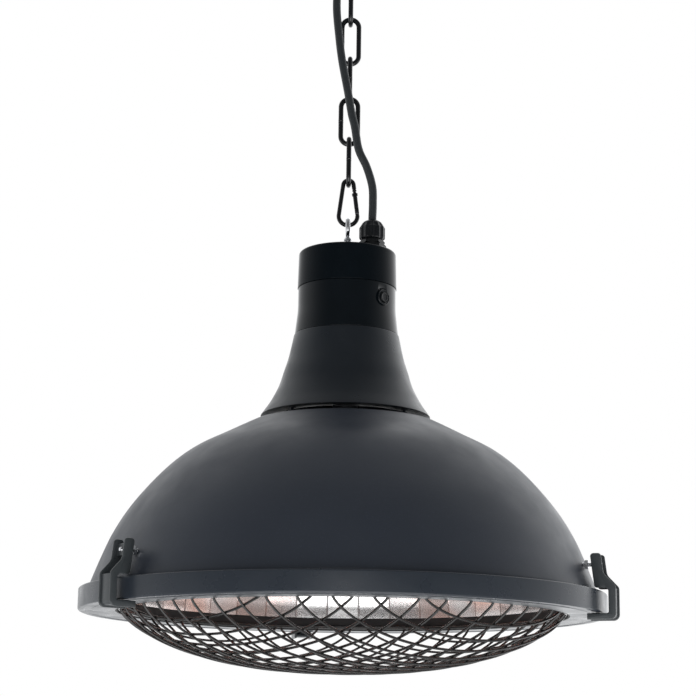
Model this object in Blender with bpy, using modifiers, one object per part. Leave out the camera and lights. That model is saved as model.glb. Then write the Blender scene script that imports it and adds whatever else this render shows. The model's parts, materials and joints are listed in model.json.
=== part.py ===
"""Hanging patio heater: a round shade with a ring heating tube and a wire guard, on a chain.

Metres, +Z up. The origin is the centre of the ceiling plate's top face. +X is to the right, and the
front faces -Y.
Everything hangs below the plate, so each height is worked out downwards from the piece that carries it.
"""

import math

import bmesh
import bpy
from mathutils import Matrix, Vector

# Shared values
FIT = 0.0003
OVERRUN = 0.002
WELD = 0.00001
LARGE_STEPS = 40
MIDDLE_STEPS = 24
SMALL_STEPS = 14
HEX_STEPS = 6

# Ceiling plate and canopy
PLATE_RADIUS = 0.042
PLATE_THICKNESS = 0.004
PLATE_BORE = 0.003
PLATE_SCREW_CIRCLE = 0.032
PLATE_SCREW_HOLE = 0.0026
CANOPY_RADIUS = 0.052
CANOPY_DEPTH = 0.030
CANOPY_CORNER = 0.012
CANOPY_WALL = 0.0012
CANOPY_HOLE = 0.0045
CANOPY_BLOCK_SIZE = (0.022, 0.014, 0.012)

# Ceiling hook and its nut
HOOK_WIRE = 0.003
HOOK_BEND = 0.011
HOOK_DROP = 0.070
HOOK_MOUTH_ANGLE = math.radians(80)
HOOK_NUT_RADIUS = 0.0065
HOOK_NUT_HEIGHT = 0.005

# Chain
LINKS = 5
LINK_WIRE = 0.0025
LINK_INNER_LENGTH = 0.043
LINK_INNER_WIDTH = 0.012

# Snap hook
SNAP_WIRE = 0.0022
SNAP_HEIGHT = 0.0511
SNAP_FOOT_RADIUS = 0.0093
SNAP_HEAD_RADIUS = 0.0052
SNAP_NOSE_SHARE = 0.22
SNAP_TONGUE_SHARE = 0.90
SNAP_TONGUE = 0.0014
SNAP_TONGUE_REACH = 0.0045
SNAP_PIN = 0.0008

# Eye bolt
EYE_WIRE = 0.0024
EYE_RING = 0.0086
EYE_RISE = 0.0171
EYE_SHANK = 0.0040
EYE_TAIL = 0.022
EYE_NUT_RADIUS = 0.0088
EYE_NUT_HEIGHT = 0.0065

# Cap and control band
CAP_HEIGHT = 0.037
CAP_STEP = 0.0007
CAP_TAPER = 0.0008
CAP_EDGE = 0.003
CAP_WALL = 0.0025
BAND_HEIGHT = 0.047
BAND_TOP_RADIUS = 0.0482
BAND_FLARE = 0.0028
BAND_WAIST_SHARE = 0.46
BAND_WALL = 0.0025

# Push button, its bezel, switch and board
BUTTON_ANGLE = math.radians(46)
BUTTON_DROP = 0.015
BUTTON_RADIUS = 0.0048
BUTTON_PROUD = 0.0008
BUTTON_DEPTH = 0.0085
BUTTON_TRAVEL = 0.0015
BUTTON_EDGE = 0.0006
BEZEL_RADIUS = 0.0080
BEZEL_FACE = 0.0016
BEZEL_BARREL = 0.0064
BEZEL_DEPTH = 0.0075
SWITCH_SIZE = (0.0060, 0.0110, 0.0110)
BOARD_SIZE = (0.0016, 0.030, 0.036)

# Cable gland and cable
GLAND_X = 0.024
GLAND_Y = -0.012
GLAND_HEX = 0.0140
GLAND_HEX_HEIGHT = 0.006
GLAND_THREAD = 0.0080
GLAND_NUT_RADIUS = 0.01275
GLAND_NUT_HEIGHT = 0.024
GLAND_NUT_WALL = 0.0020
GLAND_LOCK_HEIGHT = 0.005
CABLE_RADIUS = 0.004
GRIP_RADIUS = 0.0075
GRIP_HEIGHT = 0.012
GRIP_X = -0.0132
GRIP_Y = -0.0142
CABLE_ROUTE = (
    (0.0240, -0.0120, -0.3238),
    (0.0244, -0.0125, -0.3050),
    (0.0236, -0.0135, -0.2880),
    (0.0180, -0.0150, -0.2690),
    (0.0097, -0.0160, -0.2507),
    (0.0056, -0.0164, -0.2275),
    (0.0023, -0.0166, -0.2141),
    (-0.0015, -0.0166, -0.1923),
    (-0.0082, -0.0160, -0.1565),
    (-0.0118, -0.0152, -0.1283),
    (-0.0142, -0.0146, -0.1025),
    (-0.0140, -0.0143, -0.0780),
    (-0.0134, -0.0142, -0.0580),
    (-0.0132, -0.0142, -0.0426),
)
CABLE_POINTS_PER_SPAN = 2

# Chassis inside the cap and band
CHASSIS_PLAY = 0.0068
CHASSIS_THICKNESS = 0.003
CHASSIS_BOSS = 0.007
CHASSIS_BOSS_HEIGHT = 0.008
CHASSIS_LEG = 0.003
CHASSIS_LEG_ANGLES = (math.radians(30), math.radians(150), math.radians(270))
CHASSIS_RING_PLAY = 0.0043
CHASSIS_RING_GAP = 0.0050
CHASSIS_RING_THICKNESS = 0.002
BLOCK_SIZE = (0.024, 0.016, 0.013)
BLOCK_X = -0.020
BLOCK_Y = 0.004
BLOCK_EDGE = 0.0006
SUPPLY_BEND_SHARES = (0.6, 1.6)

# Neck flare and lead conduit
NECK_HEIGHT = 0.081
NECK_STEP = 0.0005
NECK_LIP_RADIUS = 0.0826
NECK_WALL = 0.0012
NECK_HOLE = 0.0200
NECK_SEAT_INNER = 0.066
NECK_FLARE_SHARES = ((0.0, 0.0), (0.27, 0.15), (0.46, 0.30), (0.64, 0.45), (0.83, 0.70), (1.0, 1.0))
CONDUIT_RADIUS = 0.012
CONDUIT_WALL = 0.001
CONDUIT_COLLAR = 0.026
CONDUIT_FOOT_RISE = 0.018

# Vent gap and its posts
VENT_GAP = 0.007
POST_RADIUS = 0.004
POST_CIRCLE = 0.075
POST_ANGLES = tuple(math.radians(turn) for turn in (-42, 48, 138, 228))

# Dome shade
DOME_HEIGHT = 0.164
DOME_CROWN_RADIUS = 0.090
DOME_SKIRT_RADIUS = 0.2406
DOME_CROWN_HOLE = 0.055
DOME_WALL = 0.0012
DOME_HEM = 0.002
DOME_SHARES = (
    (0.0, 0.0),
    (0.037, 0.080),
    (0.098, 0.207),
    (0.177, 0.370),
    (0.268, 0.502),
    (0.390, 0.633),
    (0.543, 0.766),
    (0.695, 0.865),
    (0.848, 0.937),
    (1.0, 1.0),
)

# Rim ring and black inner ring
RIM_HEIGHT = 0.0197
RIM_SHOULDER = 0.0094
RIM_LAP = 0.0046
RIM_FLOOR = 0.0353
RIM_WALL = 0.0012
INNER_RING_HEIGHT = 0.013
INNER_RING_WALL = 0.0012
INNER_RING_FLANGE = 0.008

# Reflector
REFLECTOR_HEIGHT = 0.090
REFLECTOR_HOLE = 0.020
REFLECTOR_SHEET = 0.0008
REFLECTOR_SHARES = (
    (0.0, 0.0),
    (0.02, 0.22),
    (0.09, 0.52),
    (0.24, 0.77),
    (0.52, 0.93),
    (0.80, 0.985),
    (1.0, 1.0),
)
LEAD_HOLE = 0.0035
CUTOUT_RADIUS = 0.008
CUTOUT_HEIGHT = 0.006
CUTOUT_PLACE = 0.036

# Heating tube, its ends, clips and leads
TUBE_RING = 0.140
TUBE_RADIUS = 0.006
TUBE_RISE = 0.058
TUBE_GAP_ANGLE = math.radians(24)
TUBE_SPANS = 32
TUBE_END_RADIUS = 0.0085
TUBE_END_LENGTH = 0.016
CLIP_WIRE = 0.0012
CLIP_PLAY = 0.0009
CLIP_ANGLES = (math.radians(-60), math.radians(60), math.radians(150))
CLIP_WRAP_ANGLE = math.radians(250)
LEAD_RADIUS = 0.0012
LEAD_SPREAD = 0.004

# Wire guard
GUARD_WIRE = 0.0012
GUARD_BORDER_WIRE = 0.002
GUARD_DEPTH = 0.0565
GUARD_POWER_SHARES = (2.4, 0.7)
GUARD_PITCH = 0.0237
GUARD_EDGE_SHARE = 0.5
GUARD_TURN = math.radians(45)
GUARD_RISE = 0.0030

# Rim clamps with their bolts and nuts
CLAMP_ANGLES = tuple(math.radians(turn) for turn in (-51.5, 71, 190))
CLAMP_WIDTH = 0.0200
CLAMP_CHEEK = 0.0022
CLAMP_LAP = 0.0005
CLAMP_ARM = 0.0068
CLAMP_PLAY = 0.0072
CLAMP_REACH = 0.0125
CLAMP_TOP = 0.0532
CLAMP_HEAD_PLAY = 0.0004
CLAMP_HEAD_DEPTH = 0.0100
CLAMP_HEAD_CORNER = 0.0030
CLAMP_HEAD_FOOT = 0.0216
CLAMP_LEAN = 0.0036
CLAMP_SHOULDER = 0.0345
CLAMP_ELBOW = 0.0235
CLAMP_FOOT_TOP = -0.0012
CLAMP_FOOT = -0.0070
CLAMP_CORNER = 0.0055
CLAMP_SLANT = 0.0020
CLAMP_RECESS = 0.0015
CLAMP_WEB = 0.0020
CLAMP_PAD = 0.0040
CLAMP_PAD_INSET = 0.0065
CLAMP_BOSS_INSET = 0.0030
CLAMP_BOSS = 0.0040
CLAMP_BOSS_HEIGHT = 0.011
BOLT_RISE = 0.0436
BOLT_RADIUS = 0.0020
BOLT_HEAD = 0.0042
BOLT_HEAD_HEIGHT = 0.0025
BOLT_END = 0.0020
NUT_RADIUS = 0.0046
NUT_THICKNESS = 0.0035

# Heights, each from the piece above it, and radii that follow the dome's skirt or the band
HOOK_Z = -HOOK_DROP
HOOK_CENTRE_Z = HOOK_Z + HOOK_BEND
LINK_BEND = LINK_INNER_WIDTH / 2 + LINK_WIRE
LINK_PITCH = LINK_INNER_LENGTH - FIT
FIRST_LINK_TOP = HOOK_Z + HOOK_WIRE + FIT + LINK_WIRE
FIRST_LINK_FOOT = FIRST_LINK_TOP - LINK_INNER_LENGTH - 2 * LINK_WIRE
LINK_FEET = tuple(FIRST_LINK_FOOT - LINK_PITCH * number for number in range(LINKS))
SNAP_TOP_Z = LINK_FEET[-1] + LINK_WIRE + FIT + SNAP_WIRE
SNAP_Z = SNAP_TOP_Z - SNAP_HEIGHT + 2 * SNAP_WIRE
EYE_TOP_Z = SNAP_Z + SNAP_WIRE + FIT + EYE_WIRE
EYE_CENTRE_Z = EYE_TOP_Z - EYE_RING
EYE_FOOT_Z = EYE_CENTRE_Z - EYE_RING
CAP_TOP_Z = EYE_FOOT_Z - EYE_RISE
CAP_FOOT_Z = CAP_TOP_Z - CAP_HEIGHT
BAND_TOP_Z = CAP_FOOT_Z - FIT
BAND_FOOT_Z = CAP_FOOT_Z - BAND_HEIGHT
NECK_TOP_Z = BAND_FOOT_Z - FIT
NECK_LIP_Z = NECK_TOP_Z - NECK_HEIGHT
DOME_TOP_Z = NECK_LIP_Z - VENT_GAP
DOME_FOOT_Z = DOME_TOP_Z - DOME_HEIGHT
RIM_TOP_Z = DOME_FOOT_Z - FIT
RIM_Z = RIM_TOP_Z - RIM_HEIGHT
RIM_RADIUS = DOME_SKIRT_RADIUS + RIM_SHOULDER
RIM_SEAT_RADIUS = DOME_SKIRT_RADIUS - RIM_LAP
RIM_BORE = RIM_RADIUS - RIM_FLOOR
CLAMP_OUTER = RIM_RADIUS + CLAMP_PLAY + CLAMP_ARM
CLAMP_TIP = RIM_RADIUS - CLAMP_REACH
CLAMP_PAD_PLACE = RIM_RADIUS - CLAMP_PAD_INSET
CLAMP_HEAD_INNER = DOME_SKIRT_RADIUS + CLAMP_HEAD_PLAY
CLAMP_HEAD_OUTER = CLAMP_HEAD_INNER + CLAMP_HEAD_DEPTH
CLAMP_BOSS_PLACE = CLAMP_HEAD_INNER + CLAMP_BOSS_INSET
INNER_RING_RADIUS = RIM_BORE - FIT
REFLECTOR_FOOT_Z = RIM_Z + INNER_RING_HEIGHT + FIT
REFLECTOR_TOP_Z = REFLECTOR_FOOT_Z + REFLECTOR_HEIGHT
TUBE_Z = RIM_Z + TUBE_RISE
GUARD_RADIUS = INNER_RING_RADIUS - INNER_RING_WALL - FIT - GUARD_BORDER_WIRE
GUARD_Z = RIM_Z + GUARD_RISE
CAP_FOOT_RADIUS = BAND_TOP_RADIUS + CAP_STEP
CAP_TOP_RADIUS = CAP_FOOT_RADIUS - CAP_TAPER
BAND_FOOT_RADIUS = BAND_TOP_RADIUS + BAND_FLARE
NECK_TOP_RADIUS = BAND_FOOT_RADIUS + NECK_STEP
CHASSIS_RADIUS = BAND_TOP_RADIUS - CHASSIS_PLAY
CHASSIS_RING_OUTER = BAND_TOP_RADIUS - CHASSIS_RING_PLAY
CHASSIS_RING_INNER = CONDUIT_COLLAR + CHASSIS_RING_GAP
CHASSIS_LEG_CIRCLE = (CHASSIS_RING_INNER + CHASSIS_RING_OUTER) / 2
CHASSIS_TOP_Z = CAP_TOP_Z - CAP_WALL - FIT
CHASSIS_UNDER_Z = CHASSIS_TOP_Z - CHASSIS_THICKNESS
GLAND_TOP_Z = CAP_TOP_Z + FIT + GLAND_HEX_HEIGHT + FIT + GLAND_NUT_HEIGHT

# Colours, roughness and metallic value of each finish
FINISHES = {
    "grey_enamel": ((0.045, 0.050, 0.058, 1.0), 0.55, 0.3),
    "dark_enamel": ((0.018, 0.021, 0.024, 1.0), 0.55, 0.2),
    "black_plastic": ((0.008, 0.010, 0.011, 1.0), 0.22, 0.0),
    "black_chain": ((0.010, 0.010, 0.012, 1.0), 0.25, 0.6),
    "bright_zinc": ((0.62, 0.63, 0.65, 1.0), 0.30, 1.0),
    "polished_sheet": ((0.85, 0.85, 0.86, 1.0), 0.10, 1.0),
    "black_rubber": ((0.025, 0.026, 0.028, 1.0), 0.75, 0.0),
    "guard_wire": ((0.020, 0.017, 0.015, 1.0), 0.35, 0.7),
    "plain_steel": ((0.45, 0.46, 0.48, 1.0), 0.40, 1.0),
    "quartz": ((0.80, 0.52, 0.38, 1.0), 0.08, 0.0),
    "white_ceramic": ((0.85, 0.83, 0.78, 1.0), 0.60, 0.0),
    "green_board": ((0.03, 0.16, 0.07, 1.0), 0.50, 0.0),
    "cream_plastic": ((0.75, 0.72, 0.64, 1.0), 0.45, 0.0),
}


def clear_scene():
    for obj in list(bpy.data.objects):
        bpy.data.objects.remove(obj, do_unlink=True)


def new_collection(name):
    found = bpy.data.collections.new(name)
    bpy.context.scene.collection.children.link(found)
    return found


def finish(name):
    """The finish of this name as a material, made once."""
    made = bpy.data.materials.get(name)
    if made:
        return made
    colour, roughness, metallic = FINISHES[name]
    made = bpy.data.materials.new(name)
    made.use_nodes = True
    shader = made.node_tree.nodes["Principled BSDF"]
    shader.inputs["Base Color"].default_value = colour
    shader.inputs["Roughness"].default_value = roughness
    shader.inputs["Metallic"].default_value = metallic
    made.diffuse_color = colour
    return made


def new_object(name, data):
    obj = bpy.data.objects.new(name, data)
    PIECES.objects.link(obj)
    return obj


def mesh_object(name, mesh_maker, matrix):
    """An object whose mesh is made by a bmesh operator that takes a matrix."""
    shape = bmesh.new()
    mesh_maker(shape, matrix)
    mesh = bpy.data.meshes.new(name)
    shape.to_mesh(mesh)
    shape.free()
    return new_object(name, mesh)


def facing(direction):
    """A rotation that carries +Z to this direction."""
    return Vector(direction).to_track_quat("Z", "Y").to_matrix().to_4x4()


def cylinder(name, radius, length, centre, direction=(0, 0, 1), steps=SMALL_STEPS):
    def make(shape, matrix):
        bmesh.ops.create_cone(
            shape, cap_ends=True, segments=steps, radius1=radius, radius2=radius, depth=length, matrix=matrix
        )

    return mesh_object(name, make, Matrix.Translation(centre) @ facing(direction))


def box(name, size, centre, turn=None):
    def make(shape, matrix):
        bmesh.ops.create_cube(shape, size=1, matrix=matrix)

    sized = Matrix.Diagonal((*size, 1))
    return mesh_object(name, make, Matrix.Translation(centre) @ (turn or Matrix()) @ sized)


def turned(name, outline, steps=MIDDLE_STEPS, wall=0, closed=False, flat=False):
    """A turned shape, from (radius, height) points down its outer side. A wall makes it a sheet."""
    corners = [(radius, 0, height) for radius, height in outline]
    edges = [(n, n + 1) for n in range(len(corners) - 1)]
    if closed:
        edges.append((len(corners) - 1, 0))
    mesh = bpy.data.meshes.new(name)
    mesh.from_pydata(corners, edges, [])
    obj = new_object(name, mesh)
    screw = obj.modifiers.new("turn", "SCREW")
    screw.steps = screw.render_steps = steps
    screw.use_merge_vertices = True
    screw.merge_threshold = WELD
    screw.use_smooth_shade = not flat
    if wall:
        sheet = obj.modifiers.new("wall", "SOLIDIFY")
        sheet.thickness = wall
        sheet.offset = -1
        sheet.use_even_offset = True
    return obj


def tube(name, points, radius, resolution=2, cyclic=False):
    curve = bpy.data.curves.new(name, "CURVE")
    curve.dimensions = "3D"
    curve.bevel_depth = radius
    curve.bevel_resolution = resolution
    curve.use_fill_caps = True
    run = curve.splines.new("POLY")
    run.points.add(len(points) - 1)
    for point, place in zip(run.points, points):
        point.co = (*place, 1)
    run.use_cyclic_u = cyclic
    run.use_smooth = True
    return new_object(name, curve)


def plate(name, outline, thickness, frame):
    """A flat outline, extruded to both sides of its plane, which the frame places."""
    curve = bpy.data.curves.new(name, "CURVE")
    curve.dimensions = "2D"
    curve.fill_mode = "BOTH"
    curve.extrude = thickness / 2
    edge = curve.splines.new("POLY")
    edge.points.add(len(outline) - 1)
    for point, place in zip(edge.points, outline):
        point.co = (*place, 0, 1)
    edge.use_cyclic_u = True
    obj = new_object(name, curve)
    obj.matrix_world = frame
    return obj


def as_mesh(obj):
    """The object made a mesh, with a curve's caps welded to its sides."""
    bpy.context.view_layer.update()
    graph = bpy.context.evaluated_depsgraph_get()
    name = obj.name
    mesh = bpy.data.meshes.new_from_object(obj.evaluated_get(graph))
    shape = bmesh.new()
    shape.from_mesh(mesh)
    bmesh.ops.remove_doubles(shape, verts=shape.verts, dist=WELD)
    shape.to_mesh(mesh)
    shape.free()
    place = obj.matrix_world.copy()
    bpy.data.objects.remove(obj, do_unlink=True)
    made = new_object(name, mesh)
    made.matrix_world = place
    return made


def combine(target, other, operation, solver):
    """Cuts the other piece out of the target, or joins it on, and sets it aside with the cutters."""
    PIECES.objects.unlink(other)
    CUTTERS.objects.link(other)
    other.hide_render = True
    other.display_type = "WIRE"
    change = target.modifiers.new(operation.lower(), "BOOLEAN")
    change.operation = operation
    change.solver = solver
    change.object = other
    return target


def cut(target, other):
    return combine(target, other, "DIFFERENCE", "EXACT")


def join(target, other, solver="EXACT"):
    return combine(target, other, "UNION", solver)


def bevelled(obj, width, segments=2):
    edge = obj.modifiers.new("edges", "BEVEL")
    edge.width = width
    edge.segments = segments
    edge.limit_method = "ANGLE"
    return obj


def outward(angle):
    """The level direction at this angle from the front, turning towards +X."""
    return Vector((math.sin(angle), -math.cos(angle), 0))


def radial_frame(angle, radius=0.0, height=0.0):
    """A frame with X outward, Y sideways and Z up, at this place."""
    away = outward(angle)
    side = Vector((0, 0, 1)).cross(away)
    frame = Matrix((away, side, (0, 0, 1))).transposed().to_4x4()
    return Matrix.Translation(away * radius + Vector((0, 0, height))) @ frame


def profile_frame(angle, height):
    """A frame for an outline of (radius, height) points that stands upright at this angle."""
    away = outward(angle)
    up = Vector((0, 0, 1))
    frame = Matrix((away, up, away.cross(up))).transposed().to_4x4()
    return Matrix.Translation((0, 0, height)) @ frame


def arc(centre, radius, start, end, count):
    """Points along an arc, as (across, up) pairs."""
    turns = [start + (end - start) * n / (count - 1) for n in range(count)]
    return [(centre[0] + radius * math.cos(t), centre[1] + radius * math.sin(t)) for t in turns]


def in_xz(points):
    return [(across, 0, up) for across, up in points]


def in_yz(points):
    return [(0, across, up) for across, up in points]


def smooth_route(points, per_span):
    """Points along a Catmull-Rom curve through the route's own points."""
    route = [Vector(p) for p in points]
    ends = [2 * route[0] - route[1], *route, 2 * route[-1] - route[-2]]
    found = []
    for before, start, end, after in zip(ends, ends[1:], ends[2:], ends[3:]):
        for step in range(per_span):
            t = step / per_span
            found.append(
                0.5
                * (
                    2 * start
                    + (end - before) * t
                    + (2 * before - 5 * start + 4 * end - after) * t**2
                    + (3 * start - before - 3 * end + after) * t**3
                )
            )
    return found + [route[-1]]


def hung_on(parent, pieces, material):
    """Gives the pieces their finish, and a parent whose origin is on their joint's axis."""
    for piece in pieces:
        piece.data.materials.clear()
        piece.data.materials.append(finish(material))
        if parent:
            piece.parent = parent
            piece.matrix_parent_inverse = parent.matrix_world.inverted()


def joint_empty(name, place, parent):
    marker = new_object(name, None)
    marker.empty_display_size = LINK_WIRE
    marker.location = place
    if parent:
        marker.parent = parent
        marker.matrix_parent_inverse = parent.matrix_world.inverted()
    bpy.context.view_layer.update()
    return marker


def ceiling_plate():
    plate_centre = Vector((0, 0, -PLATE_THICKNESS / 2))
    made = cylinder("ceiling_plate", PLATE_RADIUS, PLATE_THICKNESS, plate_centre, steps=MIDDLE_STEPS)
    bore = Vector((0, 0, -PLATE_THICKNESS + (PLATE_BORE - OVERRUN) / 2))
    cut(made, cylinder("plate_hook_bore", HOOK_WIRE + FIT, PLATE_BORE + OVERRUN, bore))
    for side in (-1, 1):
        place = plate_centre + Vector((side * PLATE_SCREW_CIRCLE, 0, 0))
        cut(made, cylinder(f"plate_screw_hole_{side}", PLATE_SCREW_HOLE, 2 * PLATE_THICKNESS, place))
    return made


def canopy_cup():
    middle = (CANOPY_RADIUS - CANOPY_CORNER, CANOPY_CORNER - CANOPY_DEPTH)
    corner = arc(middle, CANOPY_CORNER, 0, -math.pi / 2, 5)
    outline = [(CANOPY_RADIUS, 0), *corner, (CANOPY_HOLE, -CANOPY_DEPTH)]
    made = turned("canopy_cup", outline, wall=CANOPY_WALL)
    place = (GRIP_X, GRIP_Y, -CANOPY_DEPTH)
    return cut(made, cylinder("canopy_cable_hole", CABLE_RADIUS + FIT, 4 * CANOPY_WALL, place, steps=12))


def ceiling_hook():
    ring = arc((0, HOOK_CENTRE_Z), HOOK_BEND, math.pi / 2, 5 * math.pi / 2 - HOOK_MOUTH_ANGLE, 16)
    top = PLATE_BORE - PLATE_THICKNESS - FIT
    return tube("ceiling_hook", in_xz([(0, top), (0, -PLATE_THICKNESS), *ring]), HOOK_WIRE)


def hook_nut():
    height = -PLATE_THICKNESS - FIT - HOOK_NUT_HEIGHT / 2
    made = cylinder("hook_nut", HOOK_NUT_RADIUS, HOOK_NUT_HEIGHT, (0, 0, height), steps=HEX_STEPS)
    return cut(made, cylinder("hook_nut_bore", HOOK_WIRE + FIT, 2 * HOOK_NUT_HEIGHT, (0, 0, height)))


def canopy_block():
    height = -PLATE_THICKNESS - FIT - CANOPY_BLOCK_SIZE[2] / 2
    place = (GRIP_X, GRIP_Y - CANOPY_BLOCK_SIZE[1] / 2, height)
    made = box("ceiling_terminal_block", CANOPY_BLOCK_SIZE, place)
    return bevelled(made, BLOCK_EDGE, 1)


def ceiling_cord_grip():
    """A moulded grip that closes the canopy's cable hole from below."""
    under = -CANOPY_DEPTH - FIT
    outline = (
        (0, under),
        (GRIP_RADIUS, under),
        (GRIP_RADIUS, under - GRIP_HEIGHT / 3),
        (CABLE_RADIUS + 4 * FIT, under - GRIP_HEIGHT),
        (0, under - GRIP_HEIGHT),
    )
    made = turned("ceiling_cord_grip", outline, SMALL_STEPS)
    made.location = (GRIP_X, GRIP_Y, 0)
    return made


def canopy_tail():
    """The cable's last length, from the grip up through the canopy to the terminal block."""
    top = -PLATE_THICKNESS - 2 * FIT - CANOPY_BLOCK_SIZE[2]
    foot = -CANOPY_DEPTH
    return cylinder("canopy_tail", CABLE_RADIUS, top - foot, (GRIP_X, GRIP_Y, (top + foot) / 2), steps=8)


def chain_link(number):
    """One oval link. Links alternate between the YZ plane and the XZ plane."""
    foot = LINK_FEET[number]
    low = foot + LINK_BEND
    high = foot + LINK_INNER_LENGTH + 2 * LINK_WIRE - LINK_BEND
    path = arc((0, high), LINK_BEND, 0, math.pi, 7) + arc((0, low), LINK_BEND, math.pi, 2 * math.pi, 7)
    place = in_xz if number % 2 else in_yz
    return tube(f"chain_link_{number + 1}", place(path), LINK_WIRE, cyclic=True)


def snap_sides():
    """Centres of the snap hook's two bends, and the angle of its straight sides."""
    foot = (0, SNAP_Z + SNAP_FOOT_RADIUS)
    head = (0, SNAP_TOP_Z - SNAP_HEAD_RADIUS)
    lean = math.asin((SNAP_FOOT_RADIUS - SNAP_HEAD_RADIUS) / (head[1] - foot[1]))
    return foot, head, lean


def snap_gate_line():
    """The gate's straight side, as its lower and upper ends on the hook's right."""
    foot, head, lean = snap_sides()
    low = arc(foot, SNAP_FOOT_RADIUS, lean, lean, 2)[0]
    high = arc(head, SNAP_HEAD_RADIUS, lean, lean, 2)[0]
    return Vector((low[0], 0, low[1])), Vector((high[0], 0, high[1]))


def snap_pin_place():
    low, high = snap_gate_line()
    return low + (high - low).normalized() * SNAP_TONGUE_REACH / 2


def snap_hook():
    foot, head, lean = snap_sides()
    low, high = snap_gate_line()
    nose = high.lerp(low, SNAP_NOSE_SHARE)
    upright = Matrix.Rotation(-lean, 4, "Y")
    bend = arc(head, SNAP_HEAD_RADIUS, lean, math.pi - lean, 9)
    bowl = arc(foot, SNAP_FOOT_RADIUS, math.pi - lean, 2 * math.pi + lean * SNAP_TONGUE_SHARE, 13)
    made = as_mesh(tube("snap_hook", in_xz([(nose.x, nose.z), *bend, *bowl]), SNAP_WIRE))
    size = (2 * SNAP_WIRE - 2 * FIT, SNAP_TONGUE, 2 * SNAP_TONGUE_REACH)
    join(made, box("snap_tongue", size, low, upright))
    hole = cylinder("snap_pin_hole", SNAP_PIN + FIT, 2 * SNAP_WIRE, snap_pin_place(), (0, 1, 0), 8)
    return cut(made, hole)


def snap_gate():
    """The gate, forked over the hook's tongue at its foot."""
    low, high = snap_gate_line()
    along = (high - low).normalized()
    nose = high.lerp(low, SNAP_NOSE_SHARE)
    foot = low + along * 3 * FIT
    upright = Matrix.Rotation(-snap_sides()[2], 4, "Y")
    made = as_mesh(tube("snap_hook_gate", (foot, nose - along * FIT), SNAP_WIRE))
    swing = math.hypot(SNAP_WIRE - FIT, SNAP_TONGUE_REACH / 2) + FIT
    size = (3 * SNAP_WIRE, SNAP_TONGUE + 2 * FIT, SNAP_TONGUE_REACH + 2 * swing)
    cut(made, box("snap_gate_slot", size, low, upright))
    hole = cylinder("snap_gate_hole", SNAP_PIN + FIT, 3 * SNAP_WIRE, snap_pin_place(), (0, 1, 0), 8)
    return cut(made, hole)


def snap_pin():
    return cylinder("snap_hook_pin", SNAP_PIN, 2 * SNAP_WIRE, snap_pin_place(), (0, 1, 0), 8)


def eye_bolt():
    ring = arc((0, EYE_CENTRE_Z), EYE_RING, -math.pi / 2, 3 * math.pi / 2, 21)[:-1]
    made = as_mesh(tube("eye_bolt", in_yz(ring), EYE_WIRE, cyclic=True))
    length = EYE_RISE + EYE_TAIL
    shank = cylinder("eye_shank", EYE_SHANK, length, (0, 0, EYE_FOOT_Z - length / 2), steps=12)
    return join(made, shank)


def eye_bolt_nut():
    height = CAP_TOP_Z + FIT + EYE_NUT_HEIGHT / 2
    made = cylinder("eye_bolt_nut", EYE_NUT_RADIUS, EYE_NUT_HEIGHT, (0, 0, height), steps=HEX_STEPS)
    return cut(made, cylinder("eye_nut_bore", EYE_SHANK + FIT, 2 * EYE_NUT_HEIGHT, (0, 0, height), steps=12))


def gland_body():
    """The hexagon on the cap and the hollow thread that goes down through it."""
    foot = CAP_TOP_Z + FIT
    low = CHASSIS_UNDER_Z - GLAND_LOCK_HEIGHT - 2 * FIT
    high = foot + GLAND_HEX_HEIGHT + GLAND_NUT_HEIGHT / 2
    hexagon = (GLAND_X, GLAND_Y, foot + GLAND_HEX_HEIGHT / 2)
    middle = (GLAND_X, GLAND_Y, (high + low) / 2)
    made = cylinder("gland_body", GLAND_HEX, GLAND_HEX_HEIGHT, hexagon, steps=HEX_STEPS)
    join(made, cylinder("gland_thread", GLAND_THREAD, high - low, middle))
    return cut(made, cylinder("gland_bore", CABLE_RADIUS + FIT, 2 * (high - low), middle, steps=12))


def gland_seal_radius():
    return GLAND_THREAD - GLAND_NUT_WALL


def gland_nut():
    foot = CAP_TOP_Z + GLAND_HEX_HEIGHT + 2 * FIT
    top = foot + GLAND_NUT_HEIGHT
    thread_top = foot + GLAND_NUT_HEIGHT / 2
    outline = (
        (CABLE_RADIUS + FIT, top),
        (gland_seal_radius() + 2 * GLAND_NUT_WALL, top),
        (GLAND_NUT_RADIUS - GLAND_NUT_WALL, top - 2 * GLAND_NUT_WALL),
        (GLAND_NUT_RADIUS, top - GLAND_NUT_HEIGHT / 2),
        (GLAND_NUT_RADIUS, foot),
        (GLAND_THREAD + FIT, foot),
        (GLAND_THREAD + FIT, thread_top + FIT),
        (gland_seal_radius() + FIT, thread_top + FIT),
        (gland_seal_radius() + FIT, top - GLAND_NUT_WALL),
        (CABLE_RADIUS + FIT, top - GLAND_NUT_WALL),
    )
    made = turned("gland_nut", outline, SMALL_STEPS, closed=True)
    made.location = (GLAND_X, GLAND_Y, 0)
    return made


def gland_seal():
    top = GLAND_TOP_Z - GLAND_NUT_WALL - FIT
    foot = CAP_TOP_Z + GLAND_HEX_HEIGHT + 2 * FIT + GLAND_NUT_HEIGHT / 2 + FIT
    outline = (
        (gland_seal_radius(), top),
        (gland_seal_radius(), foot),
        (CABLE_RADIUS + FIT, foot),
        (CABLE_RADIUS + FIT, top),
    )
    made = turned("gland_seal", outline, SMALL_STEPS, closed=True)
    made.location = (GLAND_X, GLAND_Y, 0)
    return made


def gland_locknut():
    height = CHASSIS_UNDER_Z - FIT - GLAND_LOCK_HEIGHT / 2
    place = (GLAND_X, GLAND_Y, height)
    made = cylinder("gland_locknut", GLAND_HEX, GLAND_LOCK_HEIGHT, place, steps=HEX_STEPS)
    return cut(made, cylinder("gland_locknut_bore", GLAND_THREAD + FIT, 2 * GLAND_LOCK_HEIGHT, place))


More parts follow.
